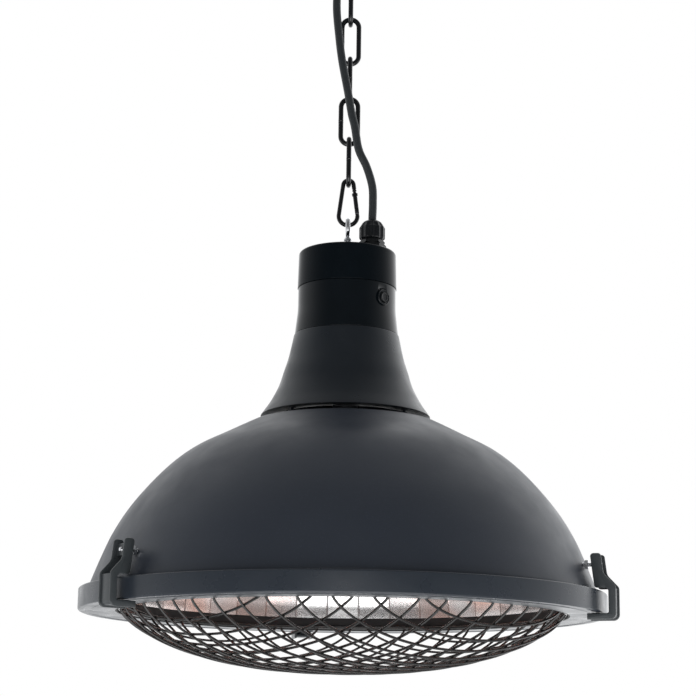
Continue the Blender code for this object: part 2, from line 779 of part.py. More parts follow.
def power_cable():
    return tube("power_cable", smooth_route(CABLE_ROUTE, CABLE_POINTS_PER_SPAN), CABLE_RADIUS)


def supply_tail():
    """The cable inside the housing, from the gland's mouth to the terminal block."""
    down = CHASSIS_UNDER_Z
    step = GLAND_LOCK_HEIGHT
    block = down - BLOCK_SIZE[2]
    route = (
        (GLAND_X, GLAND_Y, CABLE_ROUTE[0][2] - FIT),
        (GLAND_X, GLAND_Y, down - 2 * step),
        (GLAND_X, GLAND_Y, down - 4 * step),
        (GLAND_X * SUPPLY_BEND_SHARES[0], GLAND_Y * SUPPLY_BEND_SHARES[1], down - 7 * step),
        (BLOCK_X / 2, GLAND_Y, down - 8 * step),
        (BLOCK_X, BLOCK_Y, block - 4 * step),
        (BLOCK_X, BLOCK_Y, block - 2 * step),
        (BLOCK_X, BLOCK_Y, block - 2 * FIT),
    )
    return tube("supply_tail", smooth_route(route, 2), CABLE_RADIUS)


def cap_shell():
    edge = arc((CAP_TOP_RADIUS - CAP_EDGE, CAP_TOP_Z - CAP_EDGE), CAP_EDGE, math.pi / 2, 0, 4)
    outline = [(EYE_SHANK + FIT, CAP_TOP_Z), *edge, (CAP_FOOT_RADIUS, CAP_FOOT_Z)]
    made = turned("cap_shell", outline, wall=CAP_WALL)
    place = (GLAND_X, GLAND_Y, CAP_TOP_Z)
    return cut(made, cylinder("cap_gland_hole", GLAND_THREAD + FIT, 4 * CAP_WALL, place))


def band_radius(drop):
    """The band's outer radius at this distance below its top."""
    waist = BAND_HEIGHT * BAND_WAIST_SHARE
    if drop < waist:
        return BAND_TOP_RADIUS
    below = (drop - waist) / (BAND_HEIGHT - waist)
    return BAND_TOP_RADIUS + (BAND_FOOT_RADIUS - BAND_TOP_RADIUS) * below


def button_height():
    return BAND_TOP_Z - BUTTON_DROP


def control_band():
    drops = (0, BAND_HEIGHT * BAND_WAIST_SHARE, BAND_HEIGHT - FIT)
    outline = [(band_radius(drop), BAND_TOP_Z - drop) for drop in drops]
    made = turned("control_band", outline, wall=BAND_WALL)
    away = outward(BUTTON_ANGLE)
    place = away * BAND_TOP_RADIUS + Vector((0, 0, button_height()))
    return cut(made, cylinder("band_button_hole", BEZEL_BARREL + FIT, 6 * BAND_WALL, place, away))


def on_button_axis(name, outline, closed):
    """A turned piece on the button's axis. Its heights count from the middle of the heater outwards."""
    made = turned(name, outline, SMALL_STEPS, closed=closed)
    made.matrix_world = Matrix.Translation((0, 0, button_height())) @ facing(outward(BUTTON_ANGLE))
    return made


def button_bezel():
    face = BAND_TOP_RADIUS + FIT + BEZEL_FACE
    outline = (
        (BUTTON_RADIUS + FIT, face),
        (BEZEL_RADIUS - BUTTON_EDGE, face),
        (BEZEL_RADIUS, face - BUTTON_EDGE),
        (BEZEL_RADIUS, face - BEZEL_FACE),
        (BEZEL_BARREL, face - BEZEL_FACE),
        (BEZEL_BARREL, face - BEZEL_FACE - BEZEL_DEPTH),
        (BUTTON_RADIUS + FIT, face - BEZEL_FACE - BEZEL_DEPTH),
    )
    return on_button_axis("button_bezel", outline, True)


def button_face():
    return BAND_TOP_RADIUS + FIT + BEZEL_FACE + BUTTON_PROUD


def power_button():
    face = button_face()
    outline = (
        (0, face),
        (BUTTON_RADIUS - BUTTON_EDGE, face),
        (BUTTON_RADIUS, face - BUTTON_EDGE),
        (BUTTON_RADIUS, face - BUTTON_DEPTH),
        (0, face - BUTTON_DEPTH),
    )
    return on_button_axis("power_button", outline, False)


def switch_reach():
    """How far out the switch behind the button reaches."""
    return button_face() - BUTTON_DEPTH - BUTTON_TRAVEL - FIT


def push_switch():
    frame = radial_frame(BUTTON_ANGLE, switch_reach() - SWITCH_SIZE[0] / 2, button_height())
    return box("push_switch", SWITCH_SIZE, frame.translation, frame.to_3x3().to_4x4())


def control_board():
    reach = switch_reach() - SWITCH_SIZE[0] - FIT - BOARD_SIZE[0] / 2
    foot = NECK_TOP_Z + FIT + CHASSIS_RING_THICKNESS + FIT
    frame = radial_frame(BUTTON_ANGLE, reach, foot + BOARD_SIZE[2] / 2)
    return box("control_board", BOARD_SIZE, frame.translation, frame.to_3x3().to_4x4())


def terminal_block():
    height = CHASSIS_UNDER_Z - FIT - BLOCK_SIZE[2] / 2
    return bevelled(box("terminal_block", BLOCK_SIZE, (BLOCK_X, BLOCK_Y, height)), BLOCK_EDGE, 1)


def chassis():
    """A welded frame: a top plate with the eye bolt's boss, three legs and a foot ring."""
    middle = CHASSIS_TOP_Z - CHASSIS_THICKNESS / 2
    made = cylinder("chassis", CHASSIS_RADIUS, CHASSIS_THICKNESS, (0, 0, middle), steps=24)
    boss_height = CHASSIS_UNDER_Z - CHASSIS_BOSS_HEIGHT / 2 + OVERRUN / 2
    boss = (0, 0, boss_height)
    join(made, cylinder("chassis_boss", CHASSIS_BOSS, CHASSIS_BOSS_HEIGHT + OVERRUN, boss, steps=12))
    cut(made, cylinder("chassis_bore", EYE_SHANK + FIT, 4 * CHASSIS_BOSS_HEIGHT, boss, steps=12))
    gland = (GLAND_X, GLAND_Y, middle)
    cut(made, cylinder("chassis_gland_hole", GLAND_THREAD + FIT, 4 * CHASSIS_THICKNESS, gland))
    foot = NECK_TOP_Z + FIT
    ring_top = foot + CHASSIS_RING_THICKNESS
    ring = (
        (CHASSIS_RING_OUTER, ring_top),
        (CHASSIS_RING_OUTER, foot),
        (CHASSIS_RING_INNER, foot),
        (CHASSIS_RING_INNER, ring_top),
    )
    join(made, turned("chassis_ring", ring, 24, closed=True))
    low = foot + CHASSIS_RING_THICKNESS / 2
    for number, angle in enumerate(CHASSIS_LEG_ANGLES):
        place = Vector((math.cos(angle), math.sin(angle), 0)) * CHASSIS_LEG_CIRCLE
        place.z = (low + middle) / 2
        join(made, cylinder(f"chassis_leg_{number}", CHASSIS_LEG, middle - low, place, steps=8))
    return made


def neck_flare():
    spread = NECK_LIP_RADIUS - NECK_TOP_RADIUS
    flare = [
        (NECK_TOP_RADIUS + spread * out, NECK_TOP_Z - NECK_HEIGHT * down)
        for down, out in NECK_FLARE_SHARES
    ]
    outline = [(NECK_HOLE, NECK_TOP_Z), *flare, (NECK_SEAT_INNER, NECK_LIP_Z)]
    return turned("neck_flare", outline, wall=NECK_WALL)


def lead_conduit():
    """A tube for the leads. Its collar rests on the neck's top."""
    seat = NECK_TOP_Z + FIT
    top = seat + CHASSIS_RING_THICKNESS
    foot = REFLECTOR_TOP_Z + CONDUIT_FOOT_RISE
    outline = (
        (CONDUIT_COLLAR, top),
        (CONDUIT_COLLAR, seat),
        (CONDUIT_RADIUS, seat),
        (CONDUIT_RADIUS, foot),
        (CONDUIT_RADIUS - CONDUIT_WALL, foot),
        (CONDUIT_RADIUS - CONDUIT_WALL, top),
    )
    return turned("lead_conduit", outline, SMALL_STEPS, closed=True)


def vent_post(number):
    place = outward(POST_ANGLES[number]) * POST_CIRCLE
    place.z = (NECK_LIP_Z + DOME_TOP_Z) / 2
    return cylinder(f"vent_post_{number + 1}", POST_RADIUS, VENT_GAP - 2 * FIT, place, steps=12)


def dome_radius(drop):
    """The dome's outer radius at this distance below its crown."""
    spread = DOME_SKIRT_RADIUS - DOME_CROWN_RADIUS
    share = drop / (DOME_HEIGHT - DOME_HEM)
    for (high, start), (low, end) in zip(DOME_SHARES, DOME_SHARES[1:]):
        if share <= low:
            return DOME_CROWN_RADIUS + spread * (start + (end - start) * (share - high) / (low - high))
    return DOME_SKIRT_RADIUS


def dome_shade():
    slope = DOME_HEIGHT - DOME_HEM
    outline = [(DOME_CROWN_HOLE, DOME_TOP_Z)]
    outline += [(dome_radius(down * slope), DOME_TOP_Z - down * slope) for down, _ in DOME_SHARES]
    outline.append((DOME_SKIRT_RADIUS, DOME_FOOT_Z))
    made = turned("dome_shade", outline, LARGE_STEPS, wall=DOME_WALL)
    for number, angle in enumerate(CLAMP_ANGLES):
        place = outward(angle) * dome_radius(DOME_HEIGHT + RIM_HEIGHT - BOLT_RISE)
        place.z = RIM_Z + BOLT_RISE
        through = 10 * DOME_WALL
        hole = cylinder(f"dome_bolt_hole_{number}", BOLT_RADIUS + FIT, through, place, outward(angle), 8)
        cut(made, hole)
    return made


def rim_ring():
    outline = [
        (RIM_SEAT_RADIUS, RIM_TOP_Z),
        (RIM_RADIUS, RIM_TOP_Z),
        (RIM_RADIUS, RIM_Z),
        (RIM_BORE, RIM_Z),
    ]
    return turned("rim_ring", outline, LARGE_STEPS, wall=RIM_WALL)


def inner_ring():
    """The black ring in the rim's bore. Its flange rests on the rim's floor."""
    top = RIM_Z + INNER_RING_HEIGHT
    seat = RIM_Z + RIM_WALL + FIT
    inside = INNER_RING_RADIUS - INNER_RING_WALL
    outline = (
        (INNER_RING_RADIUS, top),
        (INNER_RING_RADIUS, seat + INNER_RING_WALL),
        (INNER_RING_RADIUS + INNER_RING_FLANGE, seat + INNER_RING_WALL),
        (INNER_RING_RADIUS + INNER_RING_FLANGE, seat),
        (INNER_RING_RADIUS, seat),
        (INNER_RING_RADIUS, RIM_Z),
        (inside, RIM_Z),
        (inside, top),
    )
    return turned("inner_ring", outline, LARGE_STEPS, closed=True)


def reflector_height(radius):
    """The height of the reflector's upper face at this radius."""
    spread = INNER_RING_RADIUS - REFLECTOR_HOLE
    share = (radius - REFLECTOR_HOLE) / spread
    for (start, near), (end, far) in zip(REFLECTOR_SHARES, REFLECTOR_SHARES[1:]):
        if share <= far:
            down = start + (end - start) * (share - near) / (far - near)
            return REFLECTOR_TOP_Z - REFLECTOR_HEIGHT * down
    return REFLECTOR_FOOT_Z


def tube_end_angle(side):
    """Where this end of the heating tube stands, as an angle from the front."""
    return math.pi + side * TUBE_GAP_ANGLE / 2


def tube_end_place(side):
    """The centre of this end's ceramic cap."""
    place = outward(tube_end_angle(side)) * TUBE_RING
    place -= tube_end_direction(side) * TUBE_END_LENGTH / 2
    place.z = TUBE_Z
    return place


def tube_end_direction(side):
    """The way the heating tube leaves this cap."""
    return Vector((0, 0, 1)).cross(outward(tube_end_angle(side))) * side


def reflector():
    spread = INNER_RING_RADIUS - REFLECTOR_HOLE
    outline = [
        (REFLECTOR_HOLE + spread * out, REFLECTOR_TOP_Z - REFLECTOR_HEIGHT * down)
        for down, out in REFLECTOR_SHARES
    ]
    made = turned("reflector", outline, LARGE_STEPS, wall=REFLECTOR_SHEET, flat=True)
    for side in (-1, 1):
        place = tube_end_place(side)
        place.z = reflector_height(place.xy.length)
        cut(made, cylinder(f"reflector_lead_hole_{side}", LEAD_HOLE, REFLECTOR_HEIGHT / 2, place, steps=8))
    return made


def heating_tube():
    start, end = tube_end_angle(1), 2 * math.pi + tube_end_angle(-1)
    half_span = (end - start) / (2 * TUBE_SPANS)
    slack = (FIT + TUBE_RADIUS * math.sin(half_span)) / TUBE_RING
    turns = [start + slack + (end - start - 2 * slack) * n / TUBE_SPANS for n in range(TUBE_SPANS + 1)]
    points = [outward(turn) * TUBE_RING + Vector((0, 0, TUBE_Z)) for turn in turns]
    return tube("heating_tube", points, TUBE_RADIUS)


def tube_end(side, name):
    return cylinder(name, TUBE_END_RADIUS, TUBE_END_LENGTH, tube_end_place(side), tube_end_direction(side))


def tube_clip(number):
    """A wire clip: a stem from the reflector, and a hook round the heating tube."""
    bend = TUBE_RADIUS + CLIP_PLAY + CLIP_WIRE
    start = math.pi / 2
    wrap = arc((TUBE_RING, TUBE_RISE), bend, start, start - CLIP_WRAP_ANGLE, 10)
    top = reflector_height(TUBE_RING) - RIM_Z - 2 * REFLECTOR_SHEET
    frame = profile_frame(CLIP_ANGLES[number], RIM_Z)
    points = [frame @ Vector((radius, height, 0)) for radius, height in [(TUBE_RING, top), *wrap]]
    return tube(f"tube_clip_{number + 1}", points, CLIP_WIRE, 1)


def element_lead(side, name):
    """A lead from a tube end, up through the reflector and the conduit into the housing."""
    end = tube_end_place(side)
    end.z = TUBE_Z + TUBE_END_RADIUS + FIT
    over = REFLECTOR_TOP_Z + CONDUIT_FOOT_RISE / 2
    lane = -side * LEAD_SPREAD
    route = (
        end,
        (end.x, end.y, over),
        (lane, end.y / 2, over),
        (lane, 0, over + LEAD_SPREAD),
        (lane, 0, NECK_TOP_Z + CHASSIS_RING_THICKNESS),
        (lane, 0, NECK_TOP_Z + CONDUIT_COLLAR),
    )
    return tube(name, route, LEAD_RADIUS, 1)


def thermal_cutout():
    height = reflector_height(CUTOUT_PLACE) + FIT + CUTOUT_HEIGHT / 2 + FIT
    return cylinder("thermal_cutout", CUTOUT_RADIUS, CUTOUT_HEIGHT, (-CUTOUT_PLACE, 0, height), steps=12)


def guard_height(radius):
    """The height of the guard's bowl, flat in its middle and steep at its border, at this radius."""
    roundness, fullness = GUARD_POWER_SHARES
    rise = 1 - (min(radius, GUARD_RADIUS) / GUARD_RADIUS) ** roundness
    return GUARD_Z - GUARD_DEPTH * rise**fullness


def guard():
    """The border ring and the bowl of crossing wires, welded into one piece."""
    shape = bmesh.new()
    bmesh.ops.create_circle(shape, cap_ends=True, segments=LARGE_STEPS, radius=GUARD_RADIUS)
    most = int(GUARD_RADIUS / GUARD_PITCH - GUARD_EDGE_SHARE)
    for turn in (GUARD_TURN, -GUARD_TURN):
        across = outward(turn)
        for number in range(-most, most + 1):
            line = across * number * GUARD_PITCH
            parts = [*shape.verts, *shape.edges, *shape.faces]
            bmesh.ops.bisect_plane(shape, geom=parts, dist=WELD, plane_co=line, plane_no=across)
    for corner in shape.verts:
        corner.co.z = guard_height(corner.co.xy.length)
    mesh = bpy.data.meshes.new("guard")
    shape.to_mesh(mesh)
    shape.free()
    made = new_object("guard", mesh)
    wires = made.modifiers.new("wires", "WIREFRAME")
    wires.thickness = 2 * GUARD_WIRE
    wires.offset = 0
    wires.use_boundary = True
    turns = [2 * math.pi * n / LARGE_STEPS for n in range(LARGE_STEPS)]
    border = [outward(turn) * GUARD_RADIUS + Vector((0, 0, GUARD_Z)) for turn in turns]
    return join(made, as_mesh(tube("guard_border", border, GUARD_BORDER_WIRE, 1, cyclic=True)))


def clamp_cheek_outline():
    """A cheek's outline as (radius, height) points, from its head down its outer edge and back."""
    head = CLAMP_HEAD_CORNER
    inner_arm = CLAMP_OUTER - CLAMP_ARM
    corner_middle = (CLAMP_OUTER - CLAMP_CORNER, CLAMP_FOOT + CLAMP_CORNER)
    return [
        *arc((CLAMP_HEAD_INNER + head, CLAMP_TOP - head), head, math.pi, math.pi / 2, 4),
        *arc((CLAMP_HEAD_OUTER - head, CLAMP_TOP - head), head, math.pi / 2, 0, 4),
        (CLAMP_HEAD_OUTER + CLAMP_SLANT, CLAMP_SHOULDER),
        (CLAMP_OUTER - CLAMP_SLANT / 4, CLAMP_ELBOW),
        (CLAMP_OUTER, CLAMP_ELBOW - CLAMP_SLANT),
        *arc(corner_middle, CLAMP_CORNER, 0, -math.pi / 2, 5),
        (CLAMP_TIP, CLAMP_FOOT),
        (CLAMP_TIP, CLAMP_FOOT_TOP),
        (inner_arm, CLAMP_FOOT_TOP),
        (inner_arm, CLAMP_HEAD_FOOT - CLAMP_SLANT),
        (inner_arm - CLAMP_SLANT, CLAMP_HEAD_FOOT),
        (CLAMP_HEAD_INNER + CLAMP_LEAN, CLAMP_HEAD_FOOT),
    ]


def clamp_web_outline():
    """The web between the cheeks, set in from their outer edge, along the arm and the foot."""
    out = CLAMP_OUTER - CLAMP_RECESS
    low = CLAMP_FOOT + CLAMP_RECESS
    radius = CLAMP_CORNER - CLAMP_RECESS
    middle = (out - radius, low + radius)
    return [
        (out, CLAMP_ELBOW - CLAMP_SLANT),
        *arc(middle, radius, 0, -math.pi / 2, 5),
        (CLAMP_TIP + CLAMP_RECESS, low),
        (CLAMP_TIP + CLAMP_RECESS, low + CLAMP_WEB),
        *arc(middle, radius - CLAMP_WEB, -math.pi / 2, 0, 5),
        (out - CLAMP_WEB, CLAMP_ELBOW - CLAMP_SLANT),
    ]


def clamp(number):
    """Two cheeks joined by a web, with a threaded boss above and a pad under the rim."""
    angle = CLAMP_ANGLES[number]
    upright = profile_frame(angle, RIM_Z)
    aside = (CLAMP_WIDTH - CLAMP_CHEEK) / 2
    inside = CLAMP_WIDTH - 2 * CLAMP_CHEEK + 2 * CLAMP_LAP
    made = as_mesh(plate(f"clamp_{number + 1}", clamp_web_outline(), inside, upright))
    for side in (-1, 1):
        frame = upright @ Matrix.Translation((0, 0, side * aside))
        join(made, as_mesh(plate(f"clamp_cheek_{number}_{side}", clamp_cheek_outline(), CLAMP_CHEEK, frame)))
    boss = radial_frame(angle, CLAMP_BOSS_PLACE + CLAMP_BOSS / 2, RIM_Z + BOLT_RISE)
    size = (CLAMP_BOSS, inside, CLAMP_BOSS_HEIGHT)
    join(made, box(f"clamp_boss_{number}", size, boss.translation, boss.to_3x3().to_4x4()))
    bore = cylinder(
        f"clamp_bore_{number}", BOLT_RADIUS + FIT, 4 * CLAMP_BOSS, boss.translation, outward(angle), steps=8
    )
    cut(made, bore)
    pad = outward(angle) * CLAMP_PAD_PLACE
    floor = CLAMP_FOOT + CLAMP_RECESS + CLAMP_WEB / 2
    pad.z = RIM_Z + (floor - FIT) / 2
    return join(made, cylinder(f"clamp_pad_{number}", CLAMP_PAD, -FIT - floor, pad, steps=12))


def clamp_bolt(number):
    """A pan-head screw from inside the dome out into the clamp's boss."""
    away = outward(CLAMP_ANGLES[number])
    height = Vector((0, 0, RIM_Z + BOLT_RISE))
    upper = BOLT_RISE + BOLT_HEAD
    inside = dome_radius(DOME_HEIGHT + RIM_HEIGHT - upper) * math.cos(math.pi / LARGE_STEPS) - 2 * DOME_WALL
    end = CLAMP_BOSS_PLACE + CLAMP_BOSS + BOLT_END
    start = inside - BOLT_HEAD_HEIGHT
    head_middle = away * (inside - BOLT_HEAD_HEIGHT / 2) + height
    made = cylinder(f"clamp_bolt_{number + 1}", BOLT_HEAD, BOLT_HEAD_HEIGHT, head_middle, away, 12)
    shank = cylinder(
        f"clamp_bolt_shank_{number}",
        BOLT_RADIUS,
        end - start - BOLT_HEAD_HEIGHT / 2,
        away * ((end + start + BOLT_HEAD_HEIGHT / 2) / 2) + height,
        away,
        8,
    )
    return join(made, shank)


def clamp_nut(number):
    """The jam nut on the screw, against the outside of the dome."""
    away = outward(CLAMP_ANGLES[number])
    height = Vector((0, 0, RIM_Z + BOLT_RISE))
    lower = BOLT_RISE - NUT_RADIUS
    seat = dome_radius(DOME_HEIGHT + RIM_HEIGHT - lower) + FIT
    place = away * (seat + NUT_THICKNESS / 2) + height
    made = cylinder(f"clamp_nut_{number + 1}", NUT_RADIUS, NUT_THICKNESS, place, away, HEX_STEPS)
    bore = cylinder(f"clamp_nut_bore_{number}", BOLT_RADIUS + FIT, 2 * NUT_THICKNESS, place, away, 8)
    return cut(made, bore)


def build_ceiling(root):
    hung_on(root, [ceiling_plate(), hook_nut()], "plain_steel")
    hung_on(root, [canopy_cup()], "dark_enamel")
    hung_on(root, [ceiling_hook()], "black_chain")
    hung_on(root, [canopy_block()], "cream_plastic")
    hung_on(root, [ceiling_cord_grip()], "black_plastic")
    hung_on(root, [canopy_tail(), power_cable()], "black_rubber")


def build_chain(root):
    """The links and the snap hook, each on an empty at the wire that carries it."""
    carrier = root
    carried_at = HOOK_Z
    for number in range(LINKS):
        carrier = joint_empty(f"link_pivot_{number + 1}", (0, 0, carried_at), carrier)
        hung_on(carrier, [chain_link(number)], "black_chain")
        carried_at = LINK_FEET[number]
    snap_pivot = joint_empty("snap_pivot", (0, 0, carried_at), carrier)
    hung_on(snap_pivot, [snap_hook()], "black_chain")
    gate_pivot = joint_empty("gate_pivot", snap_pin_place(), snap_pivot)
    hung_on(gate_pivot, [snap_gate()], "black_chain")
    hung_on(gate_pivot, [snap_pin()], "bright_zinc")
    return snap_pivot


def build_housing(heater):
    hung_on(heater, [eye_bolt(), eye_bolt_nut()], "bright_zinc")
    hung_on(heater, [gland_body(), gland_nut(), gland_locknut()], "black_plastic")
    hung_on(heater, [gland_seal(), supply_tail()], "black_rubber")
    hung_on(heater, [cap_shell(), control_band(), button_bezel()], "black_plastic")
    hung_on(heater, [push_switch(), terminal_block()], "cream_plastic")
    hung_on(heater, [control_board()], "green_board")
    hung_on(heater, [chassis(), lead_conduit()], "plain_steel")
    hung_on(heater, [neck_flare()], "dark_enamel")
    face = outward(BUTTON_ANGLE) * button_face() + Vector((0, 0, button_height()))
    slide = joint_empty("button_slide", face, heater)
    hung_on(slide, [power_button()], "black_plastic")


def build_shade(heater):
    hung_on(heater, [vent_post(number) for number in range(len(POST_ANGLES))], "dark_enamel")
    hung_on(heater, [dome_shade(), rim_ring()], "grey_enamel")
    hung_on(heater, [inner_ring()], "dark_enamel")
    hung_on(heater, [reflector()], "polished_sheet")
    hung_on(heater, [guard()], "guard_wire")
    for number in range(len(CLAMP_ANGLES)):
        hung_on(heater, [clamp(number)], "grey_enamel")
        hung_on(heater, [clamp_bolt(number), clamp_nut(number)], "bright_zinc")


def build_element(heater):
    hung_on(heater, [heating_tube()], "quartz")
    hung_on(heater, [tube_end(-1, "tube_end_left"), tube_end(1, "tube_end_right")], "white_ceramic")
    hung_on(heater, [tube_clip(number) for number in range(len(CLIP_ANGLES))], "bright_zinc")
    leads = [element_lead(-1, "element_lead_left"), element_lead(1, "element_lead_right")]
    hung_on(heater, leads, "white_ceramic")
    hung_on(heater, [thermal_cutout()], "cream_plastic")


clear_scene()
PIECES = new_collection("hanging_patio_heater")
CUTTERS = new_collection("cutters")
ROOT = joint_empty("ceiling", (0, 0, 0), None)
build_ceiling(ROOT)
SNAP = build_chain(ROOT)
HEATER = joint_empty("heater_pivot", (0, 0, SNAP_Z), SNAP)
build_housing(HEATER)
build_shade(HEATER)
build_element(HEATER)
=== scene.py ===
"""The looks of a hanging patio heater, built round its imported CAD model.

The heater hangs by a chain and a snap hook from a ceiling canopy. It has a glossy cap and control band, a flared
neck, a domed shade with a rim, a faceted reflector, a ring heating tube, and a domed wire guard that three rim
clamps hold. Lengths are metres in the model's own frame, with +Z up and the ceiling at zero. An angle of a place
round the heater counts from the front, turning towards +X. Every new piece is a surface worked out with numpy.
"""

import json
import logging
import math
from collections.abc import Sequence
from dataclasses import dataclass, field
from enum import Enum

import bmesh
import bpy
import numpy as np
from mathutils import Matrix, Vector

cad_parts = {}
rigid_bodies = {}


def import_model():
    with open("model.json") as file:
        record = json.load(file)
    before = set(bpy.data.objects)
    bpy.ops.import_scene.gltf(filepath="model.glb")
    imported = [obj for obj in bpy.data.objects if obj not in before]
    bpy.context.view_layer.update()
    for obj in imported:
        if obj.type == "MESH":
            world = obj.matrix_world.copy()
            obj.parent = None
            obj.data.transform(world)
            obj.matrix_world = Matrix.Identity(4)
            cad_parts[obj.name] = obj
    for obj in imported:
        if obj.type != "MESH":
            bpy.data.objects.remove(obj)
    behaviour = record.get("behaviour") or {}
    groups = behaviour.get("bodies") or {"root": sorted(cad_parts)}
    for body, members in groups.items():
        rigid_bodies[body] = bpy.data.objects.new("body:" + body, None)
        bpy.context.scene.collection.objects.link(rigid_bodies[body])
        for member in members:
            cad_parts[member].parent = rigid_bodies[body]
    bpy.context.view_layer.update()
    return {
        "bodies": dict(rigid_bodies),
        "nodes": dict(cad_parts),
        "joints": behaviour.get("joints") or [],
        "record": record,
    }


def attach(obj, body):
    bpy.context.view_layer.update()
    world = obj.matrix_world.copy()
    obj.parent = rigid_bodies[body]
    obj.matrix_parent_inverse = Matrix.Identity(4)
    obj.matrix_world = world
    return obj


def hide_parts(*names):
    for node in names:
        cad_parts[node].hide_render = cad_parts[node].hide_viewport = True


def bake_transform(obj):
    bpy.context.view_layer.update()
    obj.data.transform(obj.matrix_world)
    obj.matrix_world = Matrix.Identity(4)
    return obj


LOG = logging.getLogger("patio_heater")
Colour = tuple[float, float, float]
Place = tuple[float, float, float]
Pairs = Sequence[tuple[float, float]] | np.ndarray
Piece = bpy.types.Object
Socket = bpy.types.NodeSocket
UP = np.array([0.0, 0.0, 1.0])
FULL_TURN = 2 * math.pi
FIT = 0.0003  # the clearance between touching parts


class Body(str, Enum):
    """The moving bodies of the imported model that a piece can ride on."""

    CEILING = "ceiling"
    LINK_1 = "link_1"
    LINK_2 = "link_2"
    LINK_3 = "link_3"
    LINK_4 = "link_4"
    LINK_5 = "link_5"
    SNAP = "snap"
    GATE = "gate"
    HEATER = "heater"
    BUTTON = "button"


class Plane(Enum):
    """The upright plane that a link or a ring lies in, by the number of the level axis in it."""

    ACROSS = 0
    DEPTH = 1


# Numbers and curves


def outward(angle: float) -> np.ndarray:
    """The level unit direction at this angle from the front, turning towards +X."""
    return np.array([math.sin(angle), -math.cos(angle), 0.0])


def around(steps: int) -> np.ndarray:
    """The angles of a full turn in this many even steps, without the last."""
    return np.arange(steps) * FULL_TURN / steps


def unit(vectors: np.ndarray) -> np.ndarray:
    """Vectors of the last axis brought to a length of one."""
    return vectors / np.linalg.norm(vectors, axis=-1, keepdims=True)


def upright(line: np.ndarray, plane: Plane = Plane.ACROSS) -> np.ndarray:
    """Places of a line of (sideways, up) pairs, in an upright plane through the heater's middle.

    Args:
        line: The pairs.
        plane: Whether sideways is across the heater or from front to back.

    Returns:
        The places.
    """
    places = np.zeros((len(line), 3))
    places[:, [plane.value, 2]] = line
    return places


def arc(centre: tuple[float, float], radius: float, start: float, end: float, count: int) -> np.ndarray:
    """Places on an arc: centre + radius * (cos t, sin t), with t running evenly from start to end.

    Args:
        centre: The arc's middle, as (across, up).
        radius: Its radius.
        start: The first angle, from the across axis.
        end: The last angle.
        count: How many places.

    Returns:
        The places, as rows of (across, up).
    """
    turn = np.linspace(start, end, count)
    return np.stack([centre[0] + radius * np.cos(turn), centre[1] + radius * np.sin(turn)], axis=-1)


def smooth(points: Pairs, per_span: int, closed: bool = False) -> np.ndarray:
    """A curve through every point, by the Catmull-Rom cubic between each pair of neighbours.

    Args:
        points: The points to pass through.
        per_span: How many places each span gets.
        closed: Whether the last point leads back to the first.

    Returns:
        The places along the curve.
    """
    own = np.asarray(points, float)
    if closed:
        before, start, end, after = np.roll(own, 1, 0), own, np.roll(own, -1, 0), np.roll(own, -2, 0)
    else:
        ends = np.concatenate([[2 * own[0] - own[1]], own, [2 * own[-1] - own[-2]]])
        before, start, end, after = ends[:-3], ends[1:-2], ends[2:-1], ends[3:]
    t = (np.arange(per_span) / per_span)[None, :, None]
    before, start, end, after = (part[:, None] for part in (before, start, end, after))
    curve = 0.5 * (
        2 * start
        + (end - before) * t
        + (2 * before - 5 * start + 4 * end - after) * t**2
        + (3 * start - before - 3 * end + after) * t**3
    )
    curve = curve.reshape(-1, own.shape[1])
    return curve if closed else np.concatenate([curve, own[-1:]])


def rounded(corners: Pairs, reach: float | Sequence[float], steps: int = 4, closed: bool = False) -> np.ndarray:
    """Rounds a polyline's corners. A quadratic curve leaves each corner's sides at this distance from it.

    Args:
        corners: The polyline's points.
        reach: The distance, one for all corners or one for each. It never takes over 0.45 of a side.
        steps: How many pieces each curve has.
        closed: Whether the last point leads back to the first.

    Returns:
        The places of the rounded polyline.
    """
    own = np.asarray(corners, float)
    back, ahead = np.roll(own, 1, 0) - own, np.roll(own, -1, 0) - own
    back_length, ahead_length = np.linalg.norm(back, axis=1), np.linalg.norm(ahead, axis=1)
    leave = np.minimum(np.broadcast_to(reach, len(own)), 0.45 * np.minimum(back_length, ahead_length))
    if not closed:
        leave[[0, -1]] = 0
    start = own + back * (leave / back_length)[:, None]
    end = own + ahead * (leave / ahead_length)[:, None]
    t = np.linspace(0, 1, steps + 1)[None, :, None]
    curve = (1 - t) ** 2 * start[:, None] + 2 * t * (1 - t) * own[:, None] + t**2 * end[:, None]
    return curve.reshape(-1, own.shape[1])


def sheet_lines(
    shares: Pairs, per_span: int, start: tuple[float, float], reach: tuple[float, float], wall: float
) -> tuple[np.ndarray, np.ndarray]:
    """The two faces of a sheet to be turned: start + (reach out, -reach down) * share, and a wall inside it.

    Args:
        shares: The outline, as shares of the way down and of the way out.
        per_span: How many places each span of the smooth curve through them gets.
        start: The outline's first place, as (radius, height).
        reach: How far it goes out, and how far down.
        wall: The sheet's thickness.

    Returns:
        The outer and the inner face, as rows of (radius, height).
    """
    share = smooth(shares, per_span)
    outer = np.stack([start[0] + reach[0] * share[:, 1], start[1] - reach[1] * share[:, 0]], axis=-1)
    step = unit(np.gradient(outer, axis=0))
    return outer, outer + np.stack([step[:, 1], -step[:, 0]], axis=-1) * wall


